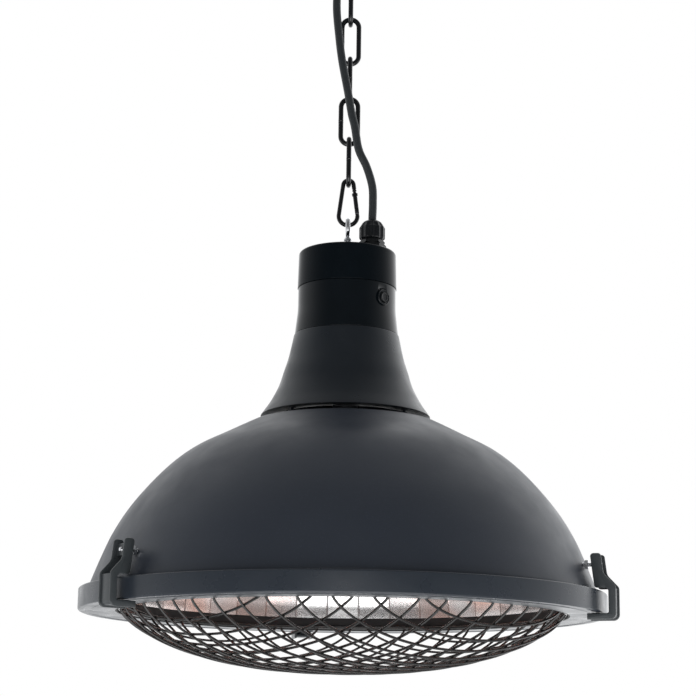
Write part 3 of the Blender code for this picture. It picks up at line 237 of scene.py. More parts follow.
def inset(outline: np.ndarray, distance: float) -> np.ndarray:
    """A closed outline moved inwards, each corner along its mitre: (n1 + n2) / (1 + n1.n2) * distance.

    Args:
        outline: The outline's corners, in order.
        distance: How far the sides move in.

    Returns:
        The moved corners.
    """
    side = np.roll(outline, -1, 0) - outline
    following = np.roll(outline, -1, 0)
    area = np.sum(outline[:, 0] * following[:, 1] - following[:, 0] * outline[:, 1])
    normal = unit(np.stack([-side[:, 1], side[:, 0]], axis=-1)) * np.sign(area)
    before = np.roll(normal, 1, 0)
    share = 1 + np.sum(normal * before, axis=1, keepdims=True)
    return outline + (normal + before) / share * distance


@dataclass(frozen=True)
class Frame:
    """A place and three unit axes, which carry local points into the heater's frame."""

    origin: np.ndarray  # where the local zero is
    x: np.ndarray  # the local X axis
    y: np.ndarray  # the local Y axis
    z: np.ndarray  # the local Z axis

    @classmethod
    def level(cls, x: float = 0.0, y: float = 0.0, z: float = 0.0) -> "Frame":
        """An upright frame in line with the heater's own, at this place."""
        return cls(np.array([x, y, z]), *np.eye(3))

    @classmethod
    def radial(cls, angle: float, radius: float, height: float) -> "Frame":
        """X points outwards at this angle, Y sideways and Z up."""
        away = outward(angle)
        return cls(away * radius + UP * height, away, np.cross(UP, away), UP)

    @classmethod
    def profile(cls, angle: float, height: float) -> "Frame":
        """X points outwards at this angle from the middle, Y up and Z sideways."""
        away = outward(angle)
        return cls(UP * height, away, UP, np.cross(away, UP))

    @classmethod
    def towards(cls, origin: np.ndarray, direction: np.ndarray) -> "Frame":
        """A frame whose Z points along a direction that isn't upright, and whose X is level.

        Args:
            origin: Where it stands.
            direction: Where its Z points.

        Returns:
            The frame.
        """
        z = unit(np.asarray(direction, float))
        x = unit(np.cross(UP, z))
        return cls(np.asarray(origin, float), x, np.cross(z, x), z)

    def place(self, points: np.ndarray) -> np.ndarray:
        """Local points carried into the heater's frame: origin + x X + y Y + z Z."""
        return self.origin + points[..., :1] * self.x + points[..., 1:2] * self.y + points[..., 2:] * self.z


@dataclass
class Track:
    """A line that a wire or a tube follows, with distances measured along it."""

    points: np.ndarray  # the line's places
    closed: bool = False  # whether it leads back to its start
    reference: Place = (0.0, 1.0, 0.0)  # a direction that the tube's seam keeps to, never along the line

    def __post_init__(self) -> None:
        """Drops repeated places and measures the line."""
        line = np.concatenate([self.points, self.points[:1]]) if self.closed else self.points
        steps = np.linalg.norm(np.diff(line, axis=0), axis=1)
        self.points = line[np.concatenate([[True], steps > 1e-8])]
        steps = steps[steps > 1e-8]
        self.run = np.concatenate([[0.0], np.cumsum(steps)])
        self.length = float(self.run[-1])

    def at(self, distances: np.ndarray) -> np.ndarray:
        """The places at these distances along the line."""
        along = np.mod(distances, self.length) if self.closed else np.clip(distances, 0, self.length)
        return np.stack([np.interp(along, self.run, self.points[:, axis]) for axis in range(3)], axis=-1)

    def distance_of(self, value: float, axis: int = 2) -> float:
        """How far along an open line, which falls along that axis, it reaches this value."""
        return float(np.interp(-value, -self.points[:, axis], self.run))

    def sweep(self, distances: np.ndarray, radii: np.ndarray, sides: int) -> np.ndarray:
        """Carries a circle along the line: place + radius * (side cos t + rise sin t).

        Args:
            distances: Where along the line each ring stands.
            radii: Each ring's radius, or a radius for each ring and side.
            sides: How many places a ring has.

        Returns:
            The rings, as a grid of places.
        """
        near = 0.0004  # how far to each side the line's direction is measured
        ahead = unit(self.at(distances + near) - self.at(distances - near))
        guide = np.asarray(self.reference)
        side = unit(guide - ahead * (ahead @ guide)[:, None])
        rise = np.cross(ahead, side)
        turn = around(sides)
        circle = side[:, None] * np.cos(turn)[None, :, None] + rise[:, None] * np.sin(turn)[None, :, None]
        reach = np.asarray(radii, float)
        reach = reach[..., None] if reach.ndim == 2 else reach[:, None, None]
        return self.at(distances)[:, None] + circle * reach


@dataclass
class Shell:
    """The points and faces of one piece, gathered from several surfaces."""

    points: list[np.ndarray] = field(default_factory=list)  # arrays of places
    faces: list[np.ndarray] = field(default_factory=list)  # arrays of faces, one row of point numbers for each
    corners: list[np.ndarray] = field(default_factory=list)  # the UV place of each corner of those faces

    def grid(self, places: np.ndarray, close_rows: bool = False, close_columns: bool = True) -> "Shell":
        """Adds a surface from a grid of places. U is the share across a row, and V the metres down the rows.

        Args:
            places: The grid, rows by columns by three.
            close_rows: Whether the last row joins the first.
            close_columns: Whether the last column joins the first.

        Returns:
            The shell itself.
        """
        rows, columns = places.shape[:2]
        row, column = np.meshgrid(
            np.arange(rows if close_rows else rows - 1),
            np.arange(columns if close_columns else columns - 1),
            indexing="ij",
        )
        below, beside = (row + 1) % rows, (column + 1) % columns
        start = sum(len(part) for part in self.points)
        upper, lower = row * columns, below * columns
        quads = [upper + column, upper + beside, lower + beside, lower + column]
        steps = np.linalg.norm(np.roll(places, -1, 0) - places, axis=2).mean(axis=1)
        run = np.concatenate([[0.0], np.cumsum(steps)])
        share = np.arange(columns + 1) / columns
        u = np.stack([share[column], share[column + 1], share[column + 1], share[column]], axis=-1)
        v = np.stack([run[row], run[row], run[row + 1], run[row + 1]], axis=-1)
        self.points.append(places.reshape(-1, 3))
        self.faces.append(start + np.stack(quads, axis=-1).reshape(-1, 4))
        self.corners.append(np.stack([u, v], axis=-1).reshape(-1, 2))
        return self

    def lid(self, ring: np.ndarray) -> "Shell":
        """Adds one flat face over a ring of places, which its neighbours' doubles are merged with later.

        Args:
            ring: The places, in order.

        Returns:
            The shell itself.
        """
        start = sum(len(part) for part in self.points)
        self.points.append(ring)
        self.faces.append(start + np.arange(len(ring))[None])
        self.corners.append(ring[:, :2].copy())
        return self

    def turn(
        self, profile: Pairs, frame: Frame | None = None, steps: int = 160, closed: bool = False,
        swell: np.ndarray | None = None,
    ) -> "Shell":
        """Turns a profile about the frame's Z: (r cos t, r sin t, h) for each (r, h) and each t.

        Args:
            profile: The profile, as (radius, height) pairs.
            frame: Where the axis stands, or the heater's own upright axis.
            steps: How many places a ring has.
            closed: Whether the profile's last pair leads back to its first.
            swell: What each ring and step adds to the radius, or nothing.

        Returns:
            The shell itself.
        """
        own = np.asarray(profile, float)
        turn = around(steps)
        reach = own[:, :1] + (0 if swell is None else swell)
        reach = np.broadcast_to(reach, (len(own), steps))
        height = np.broadcast_to(own[:, 1:], reach.shape)
        local = np.stack([reach * np.cos(turn), reach * np.sin(turn), height], axis=-1)
        return self.grid((frame or Frame.level()).place(local), close_rows=closed)

    def lathe(
        self, corners: Pairs, reach: float | Sequence[float], curve: int, frame: Frame | None = None,
        steps: int = 160,
    ) -> "Shell":
        """Turns a closed profile whose corners are rounded: see rounded and turn."""
        return self.turn(rounded(corners, reach, curve, True), frame, steps, True)

    def rod(
        self, track: Track, radius: float | Pairs, step: float, sides: int = 16, edge: float = 0.0
    ) -> "Shell":
        """Adds a round rod along a line, closed at both ends by flat faces with rounded edges.

        Args:
            track: The line.
            radius: One radius, or (distance, radius) pairs with straight lines between them.
            step: How far apart the rings stand.
            sides: How many places a ring has.
            edge: The radius of the rounded edge at each end.

        Returns:
            The shell itself.
        """
        table = np.array([(0, radius), (track.length, radius)] if np.isscalar(radius) else radius, float)
        if track.closed:
            count = max(12, round(track.length / step))
            along = np.unique(np.concatenate([np.arange(count) * track.length / count, table[1:-1, 0]]))
            return self.grid(track.sweep(along, np.interp(along, *table.T), sides), close_rows=True)
        turn = np.linspace(0, math.pi / 2, 4 if edge else 1)
        head = edge * (1 - np.cos(turn))
        count = max(2, round((track.length - 2 * edge) / step))
        body = np.linspace(edge, track.length - edge, count + 1)
        own = table[(table[:, 0] > edge) & (table[:, 0] < body[-1]), 0]
        body = np.unique(np.concatenate([body, own]))[1:-1]
        along = np.concatenate([[0], head, body, track.length - head[::-1], [track.length]])
        reach = np.interp(along, *table.T)
        less = edge * (1 - np.sin(turn))
        reach[1 : 1 + len(head)] -= less
        reach[-1 - len(head) : -1] -= less[::-1]
        reach[[0, -1]] = 0
        return self.grid(track.sweep(along, reach, sides))

    def slab(self, outline: np.ndarray, low: float, high: float, frame: Frame, edge: float) -> "Shell":
        """Adds a plate: an outline in the frame's XY plane, thick along its Z, with rounded edges.

        Args:
            outline: The outline's corners, in order.
            low: The lower face's place along Z.
            high: The upper face's place along Z.
            frame: Where the plate stands.
            edge: The radius of its rounded edges.

        Returns:
            The shell itself.
        """
        turn = np.linspace(0, math.pi / 2, 4)
        less = edge * (1 - np.sin(turn))
        rise = edge * (1 - np.cos(turn))
        levels = np.concatenate([low + rise, high - rise[::-1]])
        moves = np.concatenate([less, less[::-1]])
        flat = np.stack([inset(outline, move) for move in moves])
        local = np.concatenate([flat, np.broadcast_to(levels[:, None, None], (*flat.shape[:2], 1))], axis=-1)
        places = frame.place(local)
        return self.grid(places).lid(places[0]).lid(places[-1])

    def hexagon(
        self, frame: Frame, corner: float, low: float, high: float, bore: float, steps: int = 96
    ) -> "Shell":
        """Adds a six-sided nut with turned chamfers: r = min(apothem / cos t, face + slope * depth).

        Args:
            frame: The nut's axis is this frame's Z.
            corner: The distance from the axis to a corner.
            low: Where its lower face is along the axis.
            high: Where its upper face is.
            bore: The radius of its hole.
            steps: How many places a ring has, a multiple of six.

        Returns:
            The shell itself.
        """
        slope = 1.73  # how much wider the chamfer gets for each step of depth
        flat = 0.97  # the radius of its round end face, as a share of the apothem
        sink = 0.06  # the countersink of the bore, as a share of the corner's radius
        apothem = corner * math.cos(math.pi / 6)
        turn = around(steps)
        side = apothem / np.cos(np.mod(turn, math.pi / 3) - math.pi / 6)
        face = flat * apothem
        depth = np.linspace(0, 1, 7) * (corner - face) / slope
        skin = np.minimum(side, face + depth[:, None] * slope)
        lip = bore + sink * corner
        hole, mouth = np.full(steps, bore), np.full(steps, lip)
        rings = [hole, mouth, *skin, *skin[::-1], mouth, hole]
        fall = lip - bore
        heights = np.concatenate([[low + fall, low], low + depth, high - depth[::-1], [high, high - fall]])
        profile = np.stack([np.zeros(len(heights)), heights], axis=-1)
        return self.turn(profile, frame, steps, True, np.stack(rings))

    def thread(
        self, frame: Frame, radius: float, low: float, high: float, pitch: float, sides: int = 20
    ) -> "Shell":
        """Adds a threaded rod: the radius dips by a ridge wave of height / pitch - share of a turn.

        Each crest is a flat-topped triangle, and the thread runs out to the full depth at both ends.

        Args:
            frame: The rod's axis is this frame's Z.
            radius: The radius at the crests.
            low: Where it starts along the axis.
            high: Where it ends.
            pitch: The height of one turn.
            sides: How many places a ring has.

        Returns:
            The shell itself.
        """
        rings_per_pitch = 6
        run_out = 0.8  # how many turns the thread takes to run out at each end
        height = np.linspace(low, high, max(8, int((high - low) / pitch * rings_per_pitch)))
        turn = np.arange(sides) / sides
        phase = np.mod((height[:, None] - low) / pitch - turn, 1)
        ridge = np.clip(1.5 * (1 - np.abs(2 * phase - 1)) - 0.2, 0, 1)
        depth = 0.5 * pitch
        ends = np.clip(np.minimum(height - low, high - height) / (run_out * pitch), 0, 1)[:, None]
        swell = radius - depth * (1 - ridge * ends)
        swell = np.concatenate([np.zeros((1, sides)), swell, np.zeros((1, sides))])
        heights = np.concatenate([[low], height, [high]])
        return self.turn(np.stack([np.zeros(len(heights)), heights], axis=-1), frame, sides, False, swell)

    def piece(self, name: str, sharp: float = 35.0) -> Piece:
        """Makes the shell an object, with its doubles merged and its normals facing out.

        Args:
            name: The object's name.
            sharp: The angle, in degrees, over which an edge between faces shows as sharp.

        Returns:
            The object, at the origin.
        """
        points = np.concatenate(self.points)
        loops = np.concatenate([part.ravel() for part in self.faces])
        sizes = np.concatenate([np.full(len(part), part.shape[1]) for part in self.faces])
        mesh = bpy.data.meshes.new(name)
        mesh.vertices.add(len(points))
        mesh.vertices.foreach_set("co", points.ravel())
        mesh.loops.add(len(loops))
        mesh.loops.foreach_set("vertex_index", loops.astype(np.int32))
        mesh.polygons.add(len(sizes))
        mesh.polygons.foreach_set("loop_start", np.concatenate([[0], np.cumsum(sizes)[:-1]]).astype(np.int32))
        mesh.update(calc_edges=True)
        mesh.uv_layers.new(name="surface").uv.foreach_set("vector", np.concatenate(self.corners).ravel())
        shape = bmesh.new()
        shape.from_mesh(mesh)
        bmesh.ops.remove_doubles(shape, verts=shape.verts, dist=1e-6)
        bmesh.ops.recalc_face_normals(shape, faces=shape.faces)
        shape.to_mesh(mesh)
        shape.free()
        mesh.shade_smooth()
        mesh.set_sharp_from_angle(angle=math.radians(sharp))
        made = bpy.data.objects.new(name, mesh)
        bpy.context.scene.collection.objects.link(made)
        return made


def pierce(target: Piece, tool: Piece) -> Piece:
    """Cuts a closed tool out of a piece, and removes the tool.

    Args:
        target: The piece.
        tool: What is cut away from it.

    Returns:
        The piece, with the hole in its mesh.
    """
    change = target.modifiers.new("hole", "BOOLEAN")
    change.operation = "DIFFERENCE"
    change.solver = "EXACT"
    change.object = tool
    bpy.context.view_layer.update()
    graph = bpy.context.evaluated_depsgraph_get()
    old = target.data
    mesh = bpy.data.meshes.new_from_object(target.evaluated_get(graph))
    target.modifiers.clear()
    target.data = mesh
    mesh.name = target.name
    bpy.data.meshes.remove(old)
    bpy.data.objects.remove(tool, do_unlink=True)
    return target


# Finishes


@dataclass
class NodeGraph:
    """Adds shader nodes to one tree and joins them."""

    tree: bpy.types.NodeTree  # the material's or the world's tree

    def __post_init__(self) -> None:
        """Finds the shader, where the tree is a material's."""
        self.shader = self.tree.nodes.get("Principled BSDF")

    def feed(self, target: Socket, value: object) -> None:
        """Joins a socket to this input, or else sets the input's own value.

        Args:
            target: The input.
            value: A socket or a value. A colour of three parts becomes opaque where the input wants four.
        """
        if isinstance(value, Socket):
            self.tree.links.new(value, target)
        elif target.type == "RGBA":
            target.default_value = (*value[:3], 1)
        else:
            target.default_value = value

    def add(self, kind: str, *inputs: object, **values: object) -> bpy.types.Node:
        """A new node with its inputs fed.

        Args:
            kind: The node's type, without "ShaderNode".
            *inputs: What its first inputs get, in order.
            **values: Inputs by name with underscores for spaces, or else properties.

        Returns:
            The node.
        """
        node = self.tree.nodes.new("ShaderNode" + kind)
        for name, value in values.items():
            title = name.replace("_", " ")
            if title in node.inputs:
                self.feed(node.inputs[title], value)
            else:
                setattr(node, name, value)
        for number, value in enumerate(inputs):
            self.feed(node.inputs[number], value)
        return node

    def math(self, operation: str, *inputs: Socket | float) -> Socket:
        """What this operation gives for sockets and numbers, in order."""
        return self.add("Math", *inputs, operation=operation).outputs[0]

    def place(self, stretch: Colour = (1.0, 1.0, 1.0)) -> Socket:
        """The object's own coordinates, in metres, each axis multiplied by its stretch."""
        own = self.add("TexCoord").outputs["Object"]
        return self.add("Mapping", Vector=own, Scale=stretch).outputs["Vector"]

    def surface(self, stretch: Colour = (1.0, 1.0, 1.0)) -> Socket:
        """The piece's UV map, each axis multiplied by its stretch."""
        own = self.add("UVMap", uv_map="surface").outputs["UV"]
        return self.add("Mapping", Vector=own, Scale=stretch).outputs["Vector"]

    def noise(self, size: float, detail: float = 3.0, stretch: Colour = (1.0, 1.0, 1.0)) -> Socket:
        """Soft random patches about this many metres across, from 0 to 1."""
        made = self.add("TexNoise", Vector=self.place(stretch), Scale=1 / size, Detail=detail, Roughness=0.55)
        return made.outputs[0]

    def span(
        self, value: Socket, low: float, high: float, start: float = 0.3, end: float = 0.7, **more: str
    ) -> Socket:
        """A value between start and end, carried over to low and high, and held at them beyond."""
        made = self.add("MapRange", Value=value, From_Min=start, From_Max=end, To_Min=low, To_Max=high, **more)
        return made.outputs["Result"]

    def between(self, share: Socket, first: Socket | Colour, second: Colour) -> Socket:
        """A colour that goes from the first to the second with the share.

        Args:
            share: How much of the second it has.
            first: The colour at 0.
            second: The colour at 1.

        Returns:
            The mixed colour.
        """
        made = self.add("Mix", data_type="RGBA", clamp_factor=True)
        for number, value in ((0, share), (6, first), (7, second)):
            self.feed(made.inputs[number], value)
        return made.outputs[2]

    def bump(self, height: Socket, depth: float) -> None:
        """Adds relief over what is there: the height, from 0 to 1, stands this many metres high.

        Args:
            height: The height.
            depth: The metres between 0 and 1.
        """
        made = self.add("Bump", Height=height, Distance=depth, Strength=1.0)
        normal = self.shader.inputs["Normal"]
        if normal.links:
            self.feed(made.inputs["Normal"], normal.links[0].from_socket)
        self.feed(normal, made.outputs["Normal"])


@dataclass(frozen=True)
class Finish:
    """A surface finish, drawn on object coordinates in metres."""

    name: str  # what the finish is called
    slot: str  # the material slot of the record that it belongs to
    colour: Colour  # its linear colour
    roughness: float  # how matt it is
    metallic: float = 0.0  # 1 for bare metal
    specular: float = 0.5  # how strongly it reflects straight on
    coat: float = 0.0  # the weight of a clear coat over it
    transmission: float = 0.0  # how much light goes through it
    ior: float = 1.5  # how strongly it bends light
    mottle: float = 0.10  # how far its colour wanders, as a share
    mottle_size: float = 0.03  # how large the wandering patches are
    spread: float = 0.06  # how far its roughness wanders
    grain_size: float = 0.0005  # how large its grain is
    grain_depth: float = 0.00001  # how deep its grain is

    def shade(self, amount: float) -> Colour:
        """The colour made lighter or darker by this factor."""
        return tuple(min(1.0, part * amount) for part in self.colour)

    def paint(self, graph: NodeGraph) -> Socket:
        """Colour: two near shades mixed by soft patches."""
        patches = graph.span(graph.noise(self.mottle_size), 0, 1)
        return graph.between(patches, self.shade(1 - self.mottle), self.shade(1 + self.mottle))

    def gloss(self, graph: NodeGraph) -> Socket:
        """Roughness: it wanders a little in patches a third as large as the colour's."""
        low, high = max(0.02, self.roughness - self.spread), self.roughness + self.spread
        return graph.span(graph.noise(self.mottle_size / 3), low, high)

    def relief(self, graph: NodeGraph) -> None:
        """Relief: an even fine grain."""
        graph.bump(graph.noise(self.grain_size, 2.0), self.grain_depth)

    def material(self) -> bpy.types.Material:
        """The finish as a material, made once.

        Returns:
            The material.
        """
        made = bpy.data.materials.get(self.name)
        if made:
            return made
        made = bpy.data.materials.new(self.name)
        made.use_nodes = True
        graph = NodeGraph(made.node_tree)
        inputs = {
            "Metallic": self.metallic, "Specular IOR Level": self.specular, "IOR": self.ior,
            "Transmission Weight": self.transmission, "Coat Weight": self.coat, "Coat Roughness": 0.06,
            "Base Color": self.paint(graph), "Roughness": self.gloss(graph),
        }
        for name, value in inputs.items():
            graph.feed(graph.shader.inputs[name], value)
        self.relief(graph)
        made.diffuse_color = (*self.colour, 1)
        return made

    def dress(self, piece: Piece) -> Piece:
        """Gives a piece this finish.

        Args:
            piece: The piece, or a CAD node.

        Returns:
            The piece.
        """
        material = self.material()
        if piece.data.materials:
            for number in range(len(piece.data.materials)):
                piece.data.materials[number] = material
        else:
            piece.data.materials.append(material)
        return piece


@dataclass(frozen=True)
class PowderCoat(Finish):
    """Baked enamel: a fine pebble with flat tops, and a dusting of lighter grains."""

    fleck: float = 0.25  # how much lighter the grains are

    def paint(self, graph: NodeGraph) -> Socket:
        """Colour: the soft patches, and where a fine noise peaks, a lighter grain."""
        grains = graph.span(graph.noise(self.grain_size * 1.6, 1.0), 0, 1, 0.60, 0.72)
        return graph.between(grains, Finish.paint(self, graph), self.shade(1 + self.fleck))

    def relief(self, graph: NodeGraph) -> None:
        """Relief: round cells of a distance pattern, and a slow orange-peel wave under them."""
        cells = graph.add("TexVoronoi", Vector=graph.place(), Scale=1 / self.grain_size, feature="SMOOTH_F1")
        graph.bump(cells.outputs["Distance"], -self.grain_depth)
        graph.bump(graph.noise(self.grain_size * 8, 1.0), self.grain_depth * 1.5)


@dataclass(frozen=True)
class DrawnMetal(Finish):
    """Metal with fine streaks along one axis, from rolling or drawing."""

    stretch: Colour = (1.0, 1.0, 0.06)  # what each coordinate is multiplied by, smallest along the streaks

    def relief(self, graph: NodeGraph) -> None:
        """Relief: noise stretched into streaks."""
        graph.bump(graph.noise(self.grain_size, 3.0, self.stretch), self.grain_depth)


@dataclass(frozen=True)
class ReflectionTintedSheet(DrawnMetal):
    """Bright sheet with a painted reflection: the red glow of the tube, mirrored in it, painted in soft patches
    towards its left and right sides.
    """

    reflection_colour: Colour = (0.86, 0.58, 0.50)  # the painted reflection's colour in the middle of a patch
    clear: float = 0.04  # how far to each side it stays clear of the painted reflection
    reflection_full: float = 0.11  # from how far to each side the painted reflection is full

    def paint(self, graph: NodeGraph) -> Socket:
        """Colour: the plain sheet, and past the clear middle a painted reflection of the tube's red glow, mixed
        in by soft patches.
        """
        away = graph.math("ABSOLUTE", graph.add("SeparateXYZ", graph.place()).outputs["X"])
        patches = graph.span(graph.noise(self.mottle_size, 1.0), 0.2, 1, 0.42, 0.62)
        share = graph.math("MULTIPLY", graph.span(away, 0, 1, self.clear, self.reflection_full), patches)
        return graph.between(share, self.colour, self.reflection_colour)


@dataclass(frozen=True)
class Zinc(Finish):
    """Bright plating: a spangle of small cells, each a shade apart."""

    def paint(self, graph: NodeGraph) -> Socket:
        """Colour: each cell of a distance pattern has its own shade."""
        cells = graph.add("TexVoronoi", Vector=graph.place(), Scale=1 / self.mottle_size)
        value = graph.add("SeparateColor", cells.outputs["Color"]).outputs["Red"]
        return graph.between(value, self.shade(1 - self.mottle), self.shade(1 + self.mottle))


@dataclass(frozen=True)
class Jacket(Finish):
    """Extruded rubber: fine lines along the cable, from its die, over a matt skin."""

    lines: float = 46.0  # how many lines go round it

    def relief(self, graph: NodeGraph) -> None:
        """Relief: noise on the UV map, many times finer round the cable than along it."""
        lines = graph.add("TexNoise", Vector=graph.surface((self.lines, 3.0, 1.0)), Scale=1.0, Detail=2.0)
        graph.bump(lines.outputs[0], self.grain_depth)
        graph.bump(graph.noise(self.grain_size, 2.0), self.grain_depth * 0.5)


@dataclass(frozen=True)
class CircuitBoard(Finish):
    """Lacquered board with darker lanes of copper under it."""

    def paint(self, graph: NodeGraph) -> Socket:
        """Colour: square cells, some a shade darker."""
        cells = graph.add("TexVoronoi", Vector=graph.place(), Scale=1 / self.mottle_size, distance="MANHATTAN")
        value = graph.add("SeparateColor", cells.outputs["Color"]).outputs["Green"]
        return graph.between(graph.span(value, 0, 1, 0.45, 0.5), self.colour, self.shade(0.6))


@dataclass(frozen=True)
class Finishes:
    """Every finish on the heater, by the part of it that has it."""

    shade: Finish = PowderCoat(
        "anthracite enamel", "grey_enamel", (0.021, 0.026, 0.036), 0.42, specular=0.37, mottle=0.04,
        mottle_size=0.12, grain_size=0.0007, grain_depth=0.000012,
    )
    rim: Finish = PowderCoat(
        "rim enamel", "grey_enamel", (0.018, 0.023, 0.031), 0.30, specular=0.46, mottle=0.05,
        mottle_size=0.06, grain_size=0.0007, grain_depth=0.000008,
    )
    clamp: Finish = PowderCoat(
        "clamp enamel", "grey_enamel", (0.033, 0.038, 0.041), 0.33, specular=0.5, mottle=0.10,
        mottle_size=0.012, grain_size=0.0006, grain_depth=0.000016,
    )
    neck: Finish = PowderCoat(
        "dark neck enamel", "dark_enamel", (0.008, 0.011, 0.015), 0.33, specular=0.42, mottle=0.05,
        mottle_size=0.06, grain_size=0.0007, grain_depth=0.000010,
    )
    inner_ring: Finish = PowderCoat(
        "black ring enamel", "dark_enamel", (0.006, 0.006, 0.007), 0.5, specular=0.3, mottle=0.1,
    )
    housing: Finish = Finish(
        "glossy black moulding", "black_plastic", (0.0030, 0.0048, 0.0066), 0.09, specular=0.22,
        mottle=0.10, mottle_size=0.02, spread=0.02, grain_size=0.002, grain_depth=0.000004,
    )
    cap: Finish = Finish(
        "smooth black cap", "black_plastic", (0.0030, 0.0048, 0.0066), 0.10, specular=0.08,
        mottle=0.10, mottle_size=0.02, spread=0.02, grain_size=0.002, grain_depth=0.000004,
    )
    gland: Finish = Finish(
        "black nylon", "black_plastic", (0.0040, 0.0052, 0.0065), 0.34, specular=0.30, mottle=0.12,
        mottle_size=0.006, grain_size=0.0003, grain_depth=0.000006,
    )
    chain: Finish = Finish(
        "glossy chain coating", "black_chain", (0.0045, 0.0052, 0.0062), 0.14, specular=0.5, mottle=0.15,
        mottle_size=0.005, spread=0.03, grain_size=0.0004, grain_depth=0.000001,
    )
    rubber: Finish = Jacket(
        "cable rubber", "black_rubber", (0.017, 0.020, 0.022), 0.46, specular=0.38, mottle=0.08,
        mottle_size=0.01, grain_size=0.0003, grain_depth=0.000012,
    )
    zinc: Finish = Zinc(
        "bright zinc", "bright_zinc", (0.72, 0.73, 0.75), 0.22, 1.0, mottle=0.10, mottle_size=0.0012,
        grain_size=0.0006, grain_depth=0.000006,
    )
    rivet: Finish = Zinc(
        "darkened rivet", "bright_zinc", (0.10, 0.10, 0.11), 0.34, 1.0, mottle=0.12, mottle_size=0.0006,
        grain_size=0.0004, grain_depth=0.000004,
    )
    steel: Finish = DrawnMetal(
        "plain steel", "plain_steel", (0.42, 0.43, 0.45), 0.38, 1.0, mottle=0.10, mottle_size=0.015,
        grain_size=0.0006, grain_depth=0.000010,
    )
    # The reflector's sides carry a painted reflection of the tube's red glow.
    reflector: Finish = ReflectionTintedSheet(
        "bright reflector sheet", "polished_sheet", (0.93, 0.92, 0.92), 0.20, 1.0, mottle=0.02,
        mottle_size=0.06, spread=0.02, grain_size=0.0012, grain_depth=0.000002, stretch=(1.0, 1.0, 0.12),
    )
    wire: Finish = Finish(
        "black guard wire", "guard_wire", (0.0060, 0.0054, 0.0050), 0.16, specular=0.5, mottle=0.15,
        mottle_size=0.01, spread=0.05, grain_size=0.0008, grain_depth=0.000003,
    )
    quartz: Finish = Finish(
        "ruby quartz", "quartz", (0.95, 0.42, 0.28), 0.05, specular=0.5, transmission=0.85, ior=1.46,
        mottle=0.08, mottle_size=0.02, spread=0.02, grain_size=0.003, grain_depth=0.000003,
    )
    coil: Finish = Finish(
        "heating coil", "quartz", (0.20, 0.13, 0.09), 0.45, 1.0, mottle=0.2, mottle_size=0.004,
        grain_size=0.0002, grain_depth=0.000004,
    )
    ceramic: Finish = Finish(
        "unglazed ceramic", "white_ceramic", (0.80, 0.78, 0.73), 0.65, specular=0.4, mottle=0.04,
        mottle_size=0.004, grain_size=0.0003, grain_depth=0.000015,
    )
    sleeve: Finish = Jacket(
        "glass sleeve", "white_ceramic", (0.78, 0.76, 0.70), 0.8, specular=0.2, mottle=0.06,
        mottle_size=0.003, grain_size=0.0004, grain_depth=0.00004, lines=18.0,
    )
    cream: Finish = Finish(
        "cream moulding", "cream_plastic", (0.72, 0.69, 0.60), 0.42, mottle=0.04, mottle_size=0.006,
        grain_size=0.0004, grain_depth=0.00001,
    )
    board: Finish = CircuitBoard(
        "circuit board", "green_board", (0.025, 0.14, 0.06), 0.35, mottle_size=0.003, coat=0.4,
    )


# Sub-assemblies


@dataclass
class SubAssembly:
    """What every sub-assembly does: finish a piece, hang it on its body, and report."""

    looks: Finishes  # the heater's finishes
    nodes: dict[str, Piece]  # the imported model's nodes by name

    def __post_init__(self) -> None:
        """Starts the list of pieces."""
        self.made: list[str] = []

    def fit(
        self, shell: Shell, name: str, finish: Finish, *nodes: str, body: Body = Body.HEATER, sharp: float = 35.0
    ) -> Piece:
        """Makes a piece that stands for CAD nodes and rides on their body.

        Args:
            shell: Its surfaces.
            name: Its name.
            finish: Its finish.
            *nodes: The CAD nodes that it stands for.
            body: The body that it rides on.
            sharp: The angle over which its edges show as sharp.

        Returns:
            The piece.
        """
        return self.hang(shell.piece(name, sharp), finish, *nodes, body=body)

    def hang(self, piece: Piece, finish: Finish, *nodes: str, body: Body = Body.HEATER) -> Piece:
        """Dresses a finished object and hangs it on its body, in place of CAD nodes.

        Args:
            piece: The object.
            finish: Its finish.
            *nodes: The CAD nodes that it stands for.
            body: The body that it rides on.

        Returns:
            The piece.
        """
        finish.dress(piece)
        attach(piece, body.value)
        if nodes:
            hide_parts(*nodes)
        self.made.append(piece.name)
        return piece

    def keep(self, finish: Finish, *names: str) -> None:
        """Dresses CAD nodes whose shape stays.

        Args:
            finish: Their finish.
            *names: The nodes.
        """
        for name in names:
            finish.dress(self.nodes[name])
            self.made.append(name)

    def report(self) -> None:
        """Says which pieces this sub-assembly has."""
        LOG.info("%s: %s", type(self).__name__, ", ".join(self.made))


